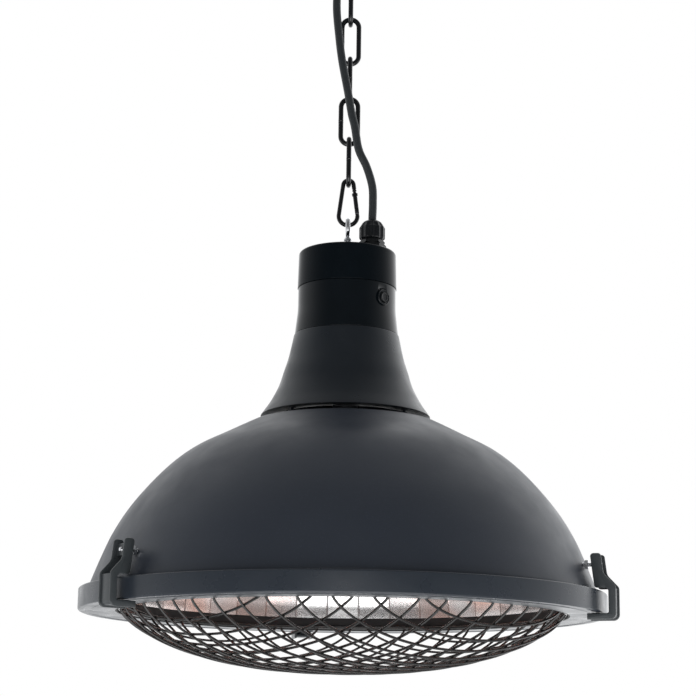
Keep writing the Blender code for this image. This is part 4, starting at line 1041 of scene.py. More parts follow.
@dataclass
class CeilingFitting(SubAssembly):
    """The canopy against the ceiling, with the hook that the chain hangs on and the cable's grip."""

    cup_radius: float = 0.052  # the canopy's radius
    cup_depth: float = 0.030  # its depth
    cup_corner: float = 0.012  # the radius of its rounded edge
    cup_wall: float = 0.0012  # its wall
    cup_hole: float = 0.0045  # the radius of the hole for the hook
    wire: float = 0.003  # the hook wire's radius
    bend: float = 0.011  # the radius of the hook's bend, at the wire's middle
    drop: float = 0.070  # how far down the hook's wire reaches, at its middle
    mouth: float = math.radians(80)  # the hook's open angle
    lead: float = math.radians(28)  # how far before the ring's top its curve leaves for the shank
    neck: float = 0.0056  # how far up the shank that curve starts
    thread_end: float = 0.0027  # how far the shank reaches into the plate
    grip: tuple[float, float] = (-0.0132, -0.0142)  # where the cable's grip stands, as (x, y)
    grip_radius: float = 0.0075  # the grip's radius
    grip_height: float = 0.012  # its height
    flutes: int = 14  # how many flutes it has
    flute_depth: float = 0.00035  # how deep they are
    cable_hole: float = 0.0043  # the radius of its bore
    nut_corner: float = 0.0065  # the hook nut's radius at its corners
    nut_height: float = 0.005  # its height
    plate: float = 0.004  # the ceiling plate's thickness

    def canopy(self) -> Shell:
        """The cup: a turned sheet with a rounded shoulder and a hemmed edge.

        Returns:
            The cup's surface.
        """
        middle = (self.cup_radius - self.cup_corner, self.cup_corner - self.cup_depth)
        outer = arc(middle, self.cup_corner, -math.pi / 2, 0, 14)
        inner = arc(middle, self.cup_corner - self.cup_wall, 0, -math.pi / 2, 14)
        inside = self.cup_radius - self.cup_wall
        hem = self.cup_wall / 2
        profile = np.concatenate([
            [(self.cup_hole, -self.cup_depth)], outer,
            [(self.cup_radius, -hem), (self.cup_radius - hem, 0), (inside, -hem)], inner,
            [(self.cup_hole, self.cup_wall - self.cup_depth)],
        ])
        return Shell().lathe(profile, 0.0003, 2)

    def hook(self) -> Shell:
        """The hook: a straight shank that curves into an open ring.

        The curve is quadratic: from the shank's lower end to the ring, drawn by the corner where the shank's
        line and the ring's tangent meet.

        Returns:
            The hook's surface.
        """
        centre = self.bend - self.drop
        lead = self.lead
        join = np.array([-self.bend * math.sin(lead), centre + self.bend * math.cos(lead)])
        corner = np.array([0.0, join[1] - join[0] / math.cos(lead) * math.sin(lead)])
        start = corner + [0, self.neck]
        t = np.linspace(0, 1, 12)[:, None]
        neck = (1 - t) ** 2 * start + 2 * t * (1 - t) * corner + t**2 * join
        ring = arc((0, centre), self.bend, math.pi / 2 + lead, 5 * math.pi / 2 - self.mouth, 48)[1:]
        line = np.concatenate([[(0, self.thread_end - self.plate)], neck, ring])
        return Shell().rod(Track(upright(line)), self.wire, 0.0012, 24, 0.0012)

    def cord_grip(self) -> Shell:
        """The grip: a flange, a fluted barrel and a cone round the cable.

        The flutes dip by their depth * (0.5 + 0.5 cos of the turn * their number) squared, under the flange.

        Returns:
            The grip's surface.
        """
        top = -self.cup_depth - FIT
        tip = self.cable_hole + 0.0009
        barrel = self.grip_radius - 0.0006
        corners = [
            (self.cable_hole, top), (self.grip_radius, top), (self.grip_radius, top - 0.0016),
            (barrel, top - 0.0020), (barrel, top - 0.0052), (tip, top - self.grip_height),
            (self.cable_hole, top - self.grip_height),
        ]
        profile = rounded(corners, 0.0004, 3, True)
        steps = 144
        turn = around(steps)
        band = np.clip((top - 0.0021 - profile[:, 1]) / 0.0004, 0, 1) * (profile[:, 0] > tip + 0.0003)
        swell = -self.flute_depth * band[:, None] * (0.5 + 0.5 * np.cos(self.flutes * turn)) ** 2
        return Shell().turn(profile, Frame.level(*self.grip), steps, True, swell)

    def build(self) -> None:
        """Builds and dresses the fitting."""
        top = -self.plate - FIT
        self.fit(self.canopy(), "ceiling_canopy", self.looks.neck, "canopy_cup", body=Body.CEILING)
        self.fit(self.hook(), "screw_hook", self.looks.chain, "ceiling_hook", body=Body.CEILING)
        nut = Shell().hexagon(Frame.level(), self.nut_corner, top - self.nut_height, top, self.wire + FIT)
        self.fit(nut, "hook_lock_nut", self.looks.zinc, "hook_nut", body=Body.CEILING, sharp=25)
        self.fit(self.cord_grip(), "canopy_cord_grip", self.looks.gland, "ceiling_cord_grip", body=Body.CEILING)
        self.keep(self.looks.steel, "ceiling_plate")
        self.keep(self.looks.cream, "ceiling_terminal_block")


@dataclass
class SupplyCable(SubAssembly):
    """The rubber cable beside the chain, in lengths that each end at one joint of the chain."""

    radius: float = 0.004  # the cable's radius
    top: float = -0.0168  # where it starts, at the terminal block in the canopy
    foot: float = -0.3541  # how deep in the gland its outer part ends
    steps: int = 34  # how many places the line of each length has
    path_steps: int = 20  # how many places the path along each length has
    # The points that its free run follows, from the gland up to the grip, as the CAD has them
    route: tuple[Place, ...] = (
        (0.0240, -0.0120, -0.3238), (0.0244, -0.0125, -0.3050), (0.0236, -0.0135, -0.2880),
        (0.0180, -0.0150, -0.2690), (0.0097, -0.0160, -0.2507), (0.0056, -0.0164, -0.2275),
        (0.0023, -0.0166, -0.2141), (-0.0015, -0.0166, -0.1923), (-0.0082, -0.0160, -0.1565),
        (-0.0118, -0.0152, -0.1283), (-0.0142, -0.0146, -0.1025), (-0.0140, -0.0143, -0.0780),
        (-0.0134, -0.0142, -0.0580), (-0.0132, -0.0142, -0.0426),
    )
    # For each length, the bodies it lies between, the height where it ends and the heights where it bends
    joints: tuple[tuple[Body, Body, float, float, float], ...] = (
        (Body.CEILING, Body.LINK_1, -0.0665, -0.0435, -0.0660),
        (Body.LINK_1, Body.LINK_2, -0.1150, -0.0800, -0.1120),
        (Body.LINK_2, Body.LINK_3, -0.1630, -0.1250, -0.1600),
        (Body.LINK_3, Body.LINK_4, -0.2110, -0.1750, -0.2090),
        (Body.LINK_4, Body.LINK_5, -0.2580, -0.2220, -0.2560),
        (Body.LINK_5, Body.SNAP, -0.3040, -0.2660, -0.3020),
        (Body.SNAP, Body.HEATER, -0.3541, -0.3050, -0.3235),
    )
    # The points that it follows inside the housing
    inner_route: tuple[Place, ...] = (
        (0.024, -0.012, -0.3543), (0.024, -0.012, -0.3699), (0.024, -0.012, -0.3799),
        (0.0144, -0.0192, -0.3949), (-0.010, -0.012, -0.3999), (-0.020, 0.004, -0.3929),
        (-0.020, 0.004, -0.3829), (-0.020, 0.004, -0.3737),
    )

    def line(self) -> Track:
        """The whole outer run, straight through the grip and the gland and smooth between them.

        Returns:
            The line, from the top down.
        """
        run = smooth(self.route, 16)[::-1]
        first, last = (*self.route[-1][:2], self.top), (*self.route[0][:2], self.foot)
        return Track(np.concatenate([[first], run, [last]]))

    def build(self) -> None:
        whole = self.line()
        start = 0.0
        for number, (upper, lower, end_height, bend_start, bend_end) in enumerate(self.joints, 1):
            end = whole.distance_of(end_height)
            part = Track(whole.at(np.linspace(start, end, self.steps)))
            piece = Shell().rod(part, self.radius, 0.0014, 24).piece(f"power_cable_{number}")
            self.looks.rubber.dress(piece)
            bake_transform(piece)
            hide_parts("power_cable", *(["canopy_tail"] if number == 1 else []))
            tuple(whole.at(np.array([start]))[0])
            [tuple(place) for place in whole.at(np.linspace(start, end, self.path_steps))]
            self.made.append(piece.name)
            start = end
        inner = Track(smooth(self.inner_route, 10), reference=(0.2, 1.0, 0.0))
        self.fit(Shell().rod(inner, self.radius, 0.0016, 20), "inner_lead", self.looks.rubber, "supply_tail")


@dataclass
class Chain(SubAssembly):
    """Five welded links, each in the plane across the last one's."""

    wire: float = 0.0025  # the wire's radius
    inner_length: float = 0.043  # a link's length inside
    inner_width: float = 0.012  # its width inside
    # The height of each link's lower wire, at its middle
    feet: tuple[float, ...] = (-0.1122, -0.1549, -0.1976, -0.2403, -0.2830)
    weld: float = 0.00018  # how proud the weld on one side stands
    weld_widths: tuple[float, float] = (0.0013, 0.00028)  # how far along the wire its bead and its seam reach

    def link(self, foot: float, plane: Plane) -> Shell:
        """One link: a round wire on two half circles and two sides, with a butt weld half way up one side.

        The weld is a bell-shaped bead with a narrow seam of the same shape round its middle.

        Args:
            foot: The height of its lower wire, at its middle.
            plane: The plane that it lies in.

        Returns:
            The link's surface.
        """
        bend = self.inner_width / 2 + self.wire
        low = foot + bend
        high = foot + self.inner_length + 2 * self.wire - bend
        upper, lower = arc((0, high), bend, 0, math.pi, 25), arc((0, low), bend, math.pi, FULL_TURN, 25)
        line = np.concatenate([upper, lower])
        track = Track(upright(line, plane), True, (0.0, 1.0, 0.0) if plane is Plane.ACROSS else (1.0, 0.0, 0.0))
        middle = math.pi * bend + (high - low) / 2
        offset = np.linspace(-0.0030, 0.0030, 31)
        bead, seam = (np.exp(-((offset / width) ** 2)) for width in self.weld_widths)
        table = np.stack([middle + offset, self.wire + self.weld * (bead - 2.2 * seam)], axis=-1)
        table = np.concatenate([[(0, self.wire)], table, [(track.length, self.wire)]])
        return Shell().rod(track, table, 0.0010, 24)

    def build(self) -> None:
        """Builds the links from the top one down."""
        bodies = (Body.LINK_1, Body.LINK_2, Body.LINK_3, Body.LINK_4, Body.LINK_5)
        for number, (foot, body) in enumerate(zip(self.feet, bodies)):
            shell = self.link(foot, Plane.ACROSS if number % 2 else Plane.DEPTH)
            self.fit(shell, f"link_{number + 1}", self.looks.chain, f"chain_link_{number + 1}", body=body)


@dataclass
class SnapHook(SubAssembly):
    """The pear-shaped snap hook between the chain and the eye, with a sprung gate on its right."""

    wire: float = 0.0022  # the wire's radius
    foot_height: float = -0.3247  # the height of the wire under the lower bend, at its middle
    head_height: float = -0.2780  # the height of the wire over the upper bend, at its middle
    foot_radius: float = 0.0093  # the radius of the lower bend
    head_radius: float = 0.0052  # the radius of the upper bend
    nose_share: float = 0.22  # where the hook's nose ends on its gate side
    tongue: float = 0.0014  # the thickness of the tongue that the gate's fork straddles
    tongue_reach: float = 0.0045  # how far the tongue reaches past the hinge
    rivet: float = 0.0008  # the hinge rivet's radius
    notch: float = 0.0005  # how deep the nose's notch and the gate's tip are set in
    fork_share: float = 0.98  # half the fork's thickness, as a share of the wire's radius
    collar: float = 0.0029  # the radius of the latch collar near the gate's tip

    def __post_init__(self) -> None:
        """Works out the bends, the lean of the sides and the gate's line."""
        super().__post_init__()
        self.foot = (0.0, self.foot_height + self.foot_radius)
        self.head = (0.0, self.head_height - self.head_radius)
        self.lean = math.asin((self.foot_radius - self.head_radius) / (self.head[1] - self.foot[1]))
        self.low = arc(self.foot, self.foot_radius, self.lean, self.lean, 1)[0]
        self.high = arc(self.head, self.head_radius, self.lean, self.lean, 1)[0]
        self.along = unit(self.high - self.low)
        self.nose = self.high + (self.low - self.high) * self.nose_share
        self.hinge = self.low + self.along * self.tongue_reach / 2
        across = np.array([self.along[1], -self.along[0]])
        hinge, across, along = upright(np.stack([self.hinge, across, self.along]))
        self.frame = Frame(hinge, across, along, np.cross(across, along))

    def hook(self) -> Shell:
        """The hook: a round wire from its notched nose over the head and round the bowl, with a flat tongue.

        Returns:
            The hook's surface.
        """
        bend = arc(self.head, self.head_radius, self.lean, math.pi - self.lean, 24)
        bowl = arc(self.foot, self.foot_radius, math.pi - self.lean, FULL_TURN + self.lean * 0.9, 44)
        track = Track(upright(np.concatenate([[self.nose], bend, bowl])))
        notch = self.wire - self.notch
        table = [(0, self.wire), (0.0011, self.wire), (0.0014, notch), (0.0021, notch), (0.0024, self.wire),
                 (track.length, self.wire)]
        shell = Shell().rod(track, table, 0.0008, 20, 0.0004)
        half = self.wire - FIT
        reach = self.tongue_reach * 0.62
        outline = rounded([(-half, -reach), (half, -reach), (half, reach), (-half, reach)], 0.0012, 4, True)
        return shell.slab(outline, -self.tongue / 2, self.tongue / 2, self.frame, 0.0002)

    def gate(self) -> Shell:
        """The gate: a round bar whose foot is a fork, with a latch collar near its tip.

        Returns:
            The gate's surface.
        """
        foot = self.hinge + self.along * 0.0046
        tip = self.nose - self.along * FIT
        track = Track(upright(np.stack([foot, tip])))
        end = track.length
        neck = self.wire - self.notch
        table = [(0, self.wire), (end - 0.0048, self.wire), (end - 0.0044, self.collar),
                 (end - 0.0020, self.collar), (end - 0.0015, neck), (end, neck)]
        shell = Shell().rod(track, table, 0.0010, 20, 0.0003)
        half, low, high = self.wire * 0.92, -0.0016, 0.0054
        outline = rounded([(-half, low), (half, low), (half, high), (-half, high)], 0.0014, 4, True)
        inside, outside = self.tongue / 2 + FIT, self.wire * self.fork_share
        shell.slab(outline, inside, outside, self.frame, 0.0002)
        return shell.slab(outline, -outside, -inside, self.frame, 0.0002)

    def pin(self) -> Shell:
        """The rivet: a short rod with a low domed head on each side.

        Returns:
            The rivet's surface.
        """
        head, rise = 0.0014, 0.0004
        half = self.wire * self.fork_share
        dome = [(0, half + rise), (head * 0.6, half + rise * 0.8), (head, half), (self.rivet, half)]
        mirrored = [(radius, -height) for radius, height in reversed(dome)]
        return Shell().turn(smooth(dome, 3).tolist() + smooth(mirrored, 3).tolist(), self.frame, 24)

    def build(self) -> None:
        """Builds the hook, its gate and the rivet."""
        self.fit(self.hook(), "snap_body", self.looks.chain, "snap_hook", body=Body.SNAP)
        self.fit(self.gate(), "snap_gate", self.looks.chain, "snap_hook_gate", body=Body.GATE)
        self.fit(self.pin(), "snap_rivet", self.looks.rivet, "snap_hook_pin", body=Body.GATE)


@dataclass
class EyeBolt(SubAssembly):
    """The bright eye bolt that carries the heater, and its nut on the cap."""

    wire: float = 0.0024  # the ring wire's radius
    ring: float = 0.0086  # the ring's radius, at the wire's middle
    centre: float = -0.3284  # the height of the ring's middle
    shank: float = 0.0040  # the threaded shank's radius
    tail: float = -0.3760  # the height of the shank's lower end
    pitch: float = 0.00125  # its thread's pitch
    seat: float = -0.3541  # the height of the cap's top
    nut_corner: float = 0.0088  # the nut's radius at its corners
    nut_height: float = 0.0065  # its height

    def bolt(self) -> Shell:
        """A round ring in the plane that runs from front to back, a short collar, and a threaded shank.

        Returns:
            The bolt's surface.
        """
        line = arc((0, self.centre), self.ring, -math.pi / 2, 3 * math.pi / 2, 65)[:-1]
        shell = Shell().rod(Track(upright(line, Plane.DEPTH), True, (1.0, 0.0, 0.0)), self.wire, 0.0009, 20)
        foot = self.centre - self.ring
        collar = [(0, foot + 0.0014), (0.0021, foot + 0.0010), (0.0030, foot - 0.0008),
                  (self.shank, foot - 0.0022), (self.shank, foot - 0.0030), (0, foot - 0.0030)]
        shell.turn(rounded(collar, 0.0005, 3), None, 32)
        return shell.thread(Frame.level(), self.shank, self.tail, foot - 0.0024, self.pitch, 28)

    def build(self) -> None:
        """Builds the bolt and its nut."""
        self.fit(self.bolt(), "eye_ring_bolt", self.looks.zinc, "eye_bolt", sharp=50)
        low = self.seat + FIT
        nut = Shell().hexagon(Frame.level(), self.nut_corner, low, low + self.nut_height, self.shank + FIT)
        self.fit(nut, "eye_nut", self.looks.zinc, "eye_bolt_nut", sharp=25)


@dataclass
class CableGland(SubAssembly):
    """The nylon gland that the cable enters the cap by."""

    place: tuple[float, float] = (0.024, -0.012)  # where it stands on the cap, as (x, y)
    seat: float = -0.3541  # the height of the cap's top
    top: float = -0.3235  # the height of the dome nut's mouth
    flange_corner: float = 0.0140  # the flange's radius at its corners
    flange_height: float = 0.006  # its height
    collar_corner: float = 0.0126  # the radius of the six-sided collar between flange and nut
    nut_radius: float = 0.01275  # the dome nut's radius
    nut_height: float = 0.0195  # its height
    ribs: int = 12  # how many grip ribs it has
    rib_depth: float = 0.0009  # how deep the gaps between them are
    bore: float = 0.0043  # the radius of the cable's way through
    thread: float = 0.0080  # the radius of the thread through the cap
    tail: float = -0.3655  # how deep that thread reaches

    def dome_nut(self) -> Shell:
        """The dome nut: a domed mouth over a barrel with broad ribs.

        A rib's height is the cube of |cos of the turn * half their number|, so they are broad with narrow gaps.

        Returns:
            The nut's surface.
        """
        low = self.top - self.nut_height
        radius = self.nut_radius
        corners = [
            (self.bore, self.top), (0.0062, self.top), (0.0096, self.top - 0.0022), (0.0112, self.top - 0.0050),
            (radius - 0.0006, self.top - 0.0066), (radius, self.top - 0.0074), (radius, low + 0.0014),
            (radius - 0.0009, low), (self.bore, low),
        ]
        profile = rounded(corners, (0, 0.0007, 0.0016, 0.0012, 0.0004, 0.0004, 0.0006, 0.0004, 0), 5, True)
        steps = 180
        turn = around(steps)
        band = np.clip((profile[:, 0] - 0.0088) / 0.0030, 0, 1)[:, None]
        dip = 1 - np.abs(np.cos(self.ribs / 2 * turn)) ** 3
        return Shell().turn(profile, Frame.level(*self.place), steps, True, -self.rib_depth * band * dip)

    def body(self) -> Shell:
        """The six-sided flange on the cap, the collar over it and the thread down through the cap.

        Returns:
            The body's surface.
        """
        frame = Frame.level(*self.place)
        low = self.seat + FIT
        flange_top = low + self.flange_height
        collar_top = self.top - self.nut_height - 0.0009
        shell = Shell().hexagon(frame, self.flange_corner, low, flange_top, self.bore)
        shell.hexagon(frame, self.collar_corner, flange_top - 0.0001, collar_top, self.bore)
        neck, under, over = 0.0100, collar_top - 0.0005, collar_top + 0.0008
        shell.turn([(neck, under), (neck, over), (self.bore, over), (self.bore, under)], frame, 60, True)
        pipe = [(self.thread, low), (self.thread, self.tail), (self.bore, self.tail), (self.bore, low)]
        return shell.turn(pipe, frame, 60, True)

    def seal(self) -> Shell:
        """The soft ring in the nut's mouth, with its lip just under the opening.

        Returns:
            The ring's surface.
        """
        out, high, low = 0.0060, self.top - 0.0006, self.top - 0.012
        corners = [(out, high), (out, low), (self.bore, low), (self.bore, high)]
        return Shell().lathe(corners, 0.0003, 3, Frame.level(*self.place), 60)

    def build(self) -> None:
        """Builds and dresses the gland."""
        self.fit(self.dome_nut(), "gland_dome_nut", self.looks.gland, "gland_nut")
        self.fit(self.body(), "gland_flange", self.looks.gland, "gland_body", sharp=25)
        self.fit(self.seal(), "gland_lip", self.looks.rubber, "gland_seal")
        self.keep(self.looks.gland, "gland_locknut")


@dataclass
class ControlHousing(SubAssembly):
    """The glossy cap and the control band with its push button, and what is inside them."""

    cap_top: float = -0.3541  # the height of the cap's top
    cap_foot: float = -0.3911  # the height of its lower edge
    cap_radii: tuple[float, float] = (0.0481, 0.0489)  # its radius at the top and at the foot
    cap_edge: float = 0.0036  # how far its upper edge's rounding reaches
    cap_wall: float = 0.0025  # its wall
    cap_hole: float = 0.0043  # the radius of its hole for the eye bolt
    band_top: float = -0.3914  # the height of the band's upper edge
    band_foot: float = -0.4381  # the height of its lower edge
    band_radii: tuple[float, float] = (0.0482, 0.0510)  # its radius down to the waist, and at the foot
    band_waist: float = -0.4130  # the height where it starts to widen
    band_wall: float = 0.0025  # its wall
    button_angle: float = math.radians(46)  # where the button is, from the front
    button_height: float = -0.4064  # the height of its middle
    button_radius: float = 0.0048  # its radius
    bezel_radius: float = 0.0080  # its bezel's radius
    barrel: float = 0.0064  # the radius of the bezel's barrel
    face: float = 0.0501  # how far out the bezel's face is
    depth: float = 0.0085  # how deep the button and the barrel reach behind it

    def cap(self) -> Shell:
        """The cap: a turned cup, open below, with a rounded top edge and a fine lip at its foot.

        Returns:
            The cap's surface.
        """
        top, foot, wall = self.cap_top, self.cap_foot, self.cap_wall
        upper, lower = self.cap_radii
        corners = [
            (self.cap_hole, top), (upper, top), (lower, foot), (lower - wall, foot), (upper - wall, top - wall),
            (self.cap_hole, top - wall),
        ]
        return Shell().lathe(corners, (0, self.cap_edge, 0.0007, 0.0003, 0.002, 0), 8, None, 192)

    def band(self) -> Piece:
        """The band: straight down to its waist and wider below, with the button's hole cut through it.

        Returns:
            The band.
        """
        top, foot, wall = self.band_top, self.band_foot, self.band_wall
        upper, lower = self.band_radii
        corners = [
            (upper, top), (upper, self.band_waist), (lower, foot), (lower - wall, foot),
            (upper - wall, self.band_waist), (upper - wall, top),
        ]
        soft = (0.0005, 0.006, 0.0006, 0.0004, 0.006, 0.0004)
        made = Shell().lathe(corners, soft, 8, None, 192).piece("control_band_skin")
        hole, start, end = self.barrel + FIT, 0.035, 0.055
        drill = Shell().turn([(0, start), (hole, start), (hole, end), (0, end)], self.axis(), 48)
        return pierce(made, drill.piece("drill"))

    def axis(self) -> Frame:
        """The button's axis, from the heater's middle outwards."""
        return Frame.towards(UP * self.button_height, outward(self.button_angle))

    def bezel(self) -> Shell:
        """The bezel: a ring with a dished face and a thin raised rim, on its barrel.

        Returns:
            The bezel's surface.
        """
        out, low = self.face, self.face - 0.0016
        hole = self.button_radius + FIT
        corners = [
            (hole, out - 0.0006), (hole + 0.0006, out - 0.0001), (hole + 0.0012, out - 0.0005),
            (self.bezel_radius - 0.0011, out - 0.0005), (self.bezel_radius - 0.0006, out),
            (self.bezel_radius, out - 0.0006), (self.bezel_radius, low), (self.barrel, low),
            (self.barrel, low - 0.0075), (hole, low - 0.0075),
        ]
        return Shell().lathe(corners, 0.0002, 3, self.axis(), 72)

    def button(self) -> Shell:
        """The button: a short plunger with a shallow dish in its face.

        Returns:
            The button's surface.
        """
        out = self.face + 0.0008
        radius = self.button_radius
        corners = [
            (0, out - 0.0005), (radius * 0.6, out - 0.0004), (radius * 0.86, out), (radius, out - 0.0004),
            (radius, out - self.depth), (0, out - self.depth),
        ]
        return Shell().turn(rounded(corners, 0.0004, 4), self.axis(), 60)

    def build(self) -> None:
        """Builds the housing and dresses what is inside it."""
        look = self.looks
        self.fit(self.cap(), "housing_cap", look.cap, "cap_shell")
        self.hang(self.band(), look.housing, "control_band")
        self.fit(self.bezel(), "push_bezel", look.housing, "button_bezel")
        self.fit(self.button(), "push_button", look.gland, "power_button", body=Body.BUTTON)
        self.keep(look.cream, "push_switch", "terminal_block", "thermal_cutout")
        self.keep(look.board, "control_board")
        self.keep(look.steel, "chassis", "lead_conduit")


@dataclass
class Neck(SubAssembly):
    """The flared neck, and the four posts that hold it over the shade with a gap for warm air."""

    top: float = -0.4384  # the height of its top
    height: float = 0.081  # its height
    radii: tuple[float, float] = (0.0515, 0.0826)  # its radius at the top and at the lip
    hole: float = 0.0200  # the radius of the hole in its top
    seat: float = 0.066  # the inner radius of its foot
    wall: float = 0.0012  # its wall
    # Its outline, as shares of the way down and of the way out
    flare: tuple[tuple[float, float], ...] = (
        (0.0, 0.0), (0.27, 0.15), (0.46, 0.30), (0.64, 0.45), (0.83, 0.70), (1.0, 1.0),
    )
    # Where the posts stand, from the front
    post_angles: tuple[float, ...] = tuple(math.radians(turn) for turn in (-42, 48, 138, 228))
    post_circle: float = 0.075  # how far out they stand
    post_radius: float = 0.004  # the radius of a post's nut at its corners
    screw: float = 0.0018  # the radius of a post's screw
    gap: float = 0.007  # the height of the gap

    def skin(self) -> Shell:
        """The neck: a turned sheet on a smooth curve through the flare's shares, folded in at both ends.

        Returns:
            The neck's surface.
        """
        upper, lower = self.radii
        start, reach = (upper, self.top), (lower - upper, self.height)
        outer, inner = sheet_lines(self.flare, 12, start, reach, self.wall)
        lip = self.top - self.height
        inner = inner[(inner[:, 1] < self.top - self.wall) & (inner[:, 1] > lip + self.wall)]
        profile = np.concatenate([
            [(self.hole, self.top)], outer, [(self.seat, lip)], [(self.seat, lip + self.wall)], inner[::-1],
            [(self.hole, self.top - self.wall)],
        ])
        return Shell().lathe(profile, 0.0005, 3, None, 192)

    def post(self, angle: float) -> Shell:
        """One post: a screw through a thin washer, a nut and a second washer.

        Args:
            angle: Where it stands, from the front.

        Returns:
            The post's surface.
        """
        frame = Frame.radial(angle, self.post_circle, self.top - self.height - self.gap + FIT)
        high = self.gap - 2 * FIT
        washer, nut, pitch = 0.0007, 0.0028, 0.0007
        shell = Shell().hexagon(frame, self.post_radius, washer, washer + nut, self.screw, 48)
        out = self.post_radius * 0.95
        for low in (0.0, high - washer):
            ring = [(self.screw, low), (out, low), (out, low + washer), (self.screw, low + washer)]
            shell.lathe(ring, 0.00015, 2, frame, 32)
        return shell.thread(frame, self.screw, 0.0001, high - 0.0001, pitch, 16)

    def build(self) -> None:
        """Builds the neck and its posts."""
        self.fit(self.skin(), "flared_neck", self.looks.neck, "neck_flare", sharp=40)
        for number, angle in enumerate(self.post_angles, 1):
            self.fit(self.post(angle), f"neck_post_{number}", self.looks.neck, f"vent_post_{number}")


@dataclass
class Shade(SubAssembly):
    """The domed shade, its rim, the black ring in the rim's bore and the faceted reflector."""

    top: float = -0.5264  # the height of the dome's crown
    height: float = 0.164  # the dome's height
    crown: float = 0.090  # the radius of the flat crown
    skirt: float = 0.2406  # the radius of the dome's lower edge
    crown_hole: float = 0.055  # the radius of the hole in the crown
    hem: float = 0.002  # the height of the straight edge at the dome's foot
    wall: float = 0.0012  # the dome's wall, and the rim's
    # The dome's outline, as shares of the way down and of the way out
    curve: tuple[tuple[float, float], ...] = (
        (0.0, 0.0), (0.037, 0.080), (0.098, 0.207), (0.177, 0.370), (0.268, 0.502), (0.390, 0.633),
        (0.543, 0.766), (0.695, 0.865), (0.848, 0.937), (1.0, 1.0),
    )
    rim_top: float = -0.6907  # the height of the rim's top
    rim_foot: float = -0.7104  # the height of its underside
    rim_radius: float = 0.2500  # its outer radius
    rim_seat: float = 0.2360  # the inner radius of its top
    rim_bore: float = 0.2147  # the inner radius of its underside
    groove: tuple[float, float] = (0.2362, 0.2442)  # the inner and the outer radius of the groove underneath
    groove_depth: float = 0.0007  # how deep it is
    ring_height: float = 0.013  # the height of the black ring
    ring_wall: float = 0.0012  # its wall
    ring_flange: float = 0.008  # how far its flange reaches out
    reflector_top: float = -0.6071  # the height of the reflector's top
    reflector_height: float = 0.090  # its height
    reflector_hole: float = 0.020  # the radius of the hole in its top
    sheet: float = 0.0008  # its wall
    facets: int = 40  # how many flat facets go round it
    # The reflector's outline, as shares of the way down and of the way out
    bowl: tuple[tuple[float, float], ...] = (
        (0.0, 0.0), (0.02, 0.22), (0.09, 0.52), (0.24, 0.77), (0.52, 0.93), (0.80, 0.985), (1.0, 1.0),
    )

    def dome(self) -> Shell:
        """The dome: a turned sheet on a smooth curve through the shares, with a flat crown and a straight hem.

        Returns:
            The dome's surface.
        """
        reach = (self.skirt - self.crown, self.height - self.hem)
        outer, inner = sheet_lines(self.curve, 9, (self.crown, self.top), reach, self.wall)
        inner = inner[inner[:, 1] < self.top - self.wall]
        foot = self.top - self.height
        profile = np.concatenate([
            [(self.crown_hole, self.top)], outer, [(self.skirt, foot)], [(self.skirt - self.wall, foot)],
            inner[::-1], [(self.crown_hole, self.top - self.wall)],
        ])
        return Shell().lathe(profile, 0.0008, 3, None, 288)

    def rim(self) -> Shell:
        """The rim: a rolled channel, flat on top and below, with soft corners and a shallow groove underneath.

        Returns:
            The rim's surface.
        """
        wall, out, top, low = self.wall, self.rim_radius, self.rim_top, self.rim_foot
        near, far = self.groove
        slant, sunk = 0.0010, low + self.groove_depth
        corners = [
            (self.rim_seat, top), (out, top), (out, low), (far, low), (far - slant, sunk), (near + slant, sunk),
            (near, low), (self.rim_bore, low), (self.rim_bore, low + wall), (near - 0.0007, low + wall),
            (far + 0.0008, wall + sunk), (out - wall, wall + sunk), (out - wall, top - wall),
            (self.rim_seat, top - wall),
        ]
        soft = (0.0003, 0.0016, 0.0018, *(0.0005,) * 5, 0.0003, 0.0005, 0.0005, 0.0008, 0.0006, 0.0003)
        return Shell().lathe(corners, soft, 5, None, 288)

    def inner_ring(self) -> Shell:
        """The black ring: an upright band with a flange on the rim's floor.

        Returns:
            The ring's surface.
        """
        out, foot, wall = self.rim_bore - FIT, self.rim_foot, self.ring_wall
        seat, top, flange = foot + self.wall + FIT, foot + self.ring_height, out + self.ring_flange
        corners = [
            (out, top), (out, seat + wall), (flange, seat + wall), (flange, seat), (out, seat), (out, foot),
            (out - wall, foot), (out - wall, top),
        ]
        return Shell().lathe(corners, 0.0004, 3, None, 256)

    def reflector(self) -> Shell:
        """The reflector: flat facets side by side, with a small rounded crease between them.

        A facet keeps its edges on the bowl, so the radius is bowl * cos(half) / cos(t - middle), and the crease
        takes off a little more within a narrow band at each side.

        Returns:
            The reflector's surface.
        """
        start = (self.reflector_hole, self.reflector_top)
        reach = (self.rim_bore - FIT - 0.0004 - self.reflector_hole, self.reflector_height)
        outer, inner = sheet_lines(self.bowl, 10, start, reach, self.sheet)
        profile = np.concatenate([outer, inner[::-1]])
        half = math.pi / self.facets
        within = np.array([-1.0, -0.975, -0.94, -0.6, 0.0, 0.6, 0.94, 0.975]) * half
        turn = (np.arange(self.facets)[:, None] * 2 * half + within).ravel()
        crease = np.tile([0.0011, 0.0005, 0.0, 0.0, 0.0, 0.0, 0.0, 0.0005], self.facets)
        radius = profile[:, :1] * (math.cos(half) / np.cos(np.tile(within, self.facets)))
        radius = radius - crease * np.clip(profile[:, :1] / 0.1, 0, 1)
        height = np.broadcast_to(profile[:, 1:], radius.shape)
        places = np.stack([radius * np.sin(turn), -radius * np.cos(turn), height], axis=-1)
        return Shell().grid(places, True)

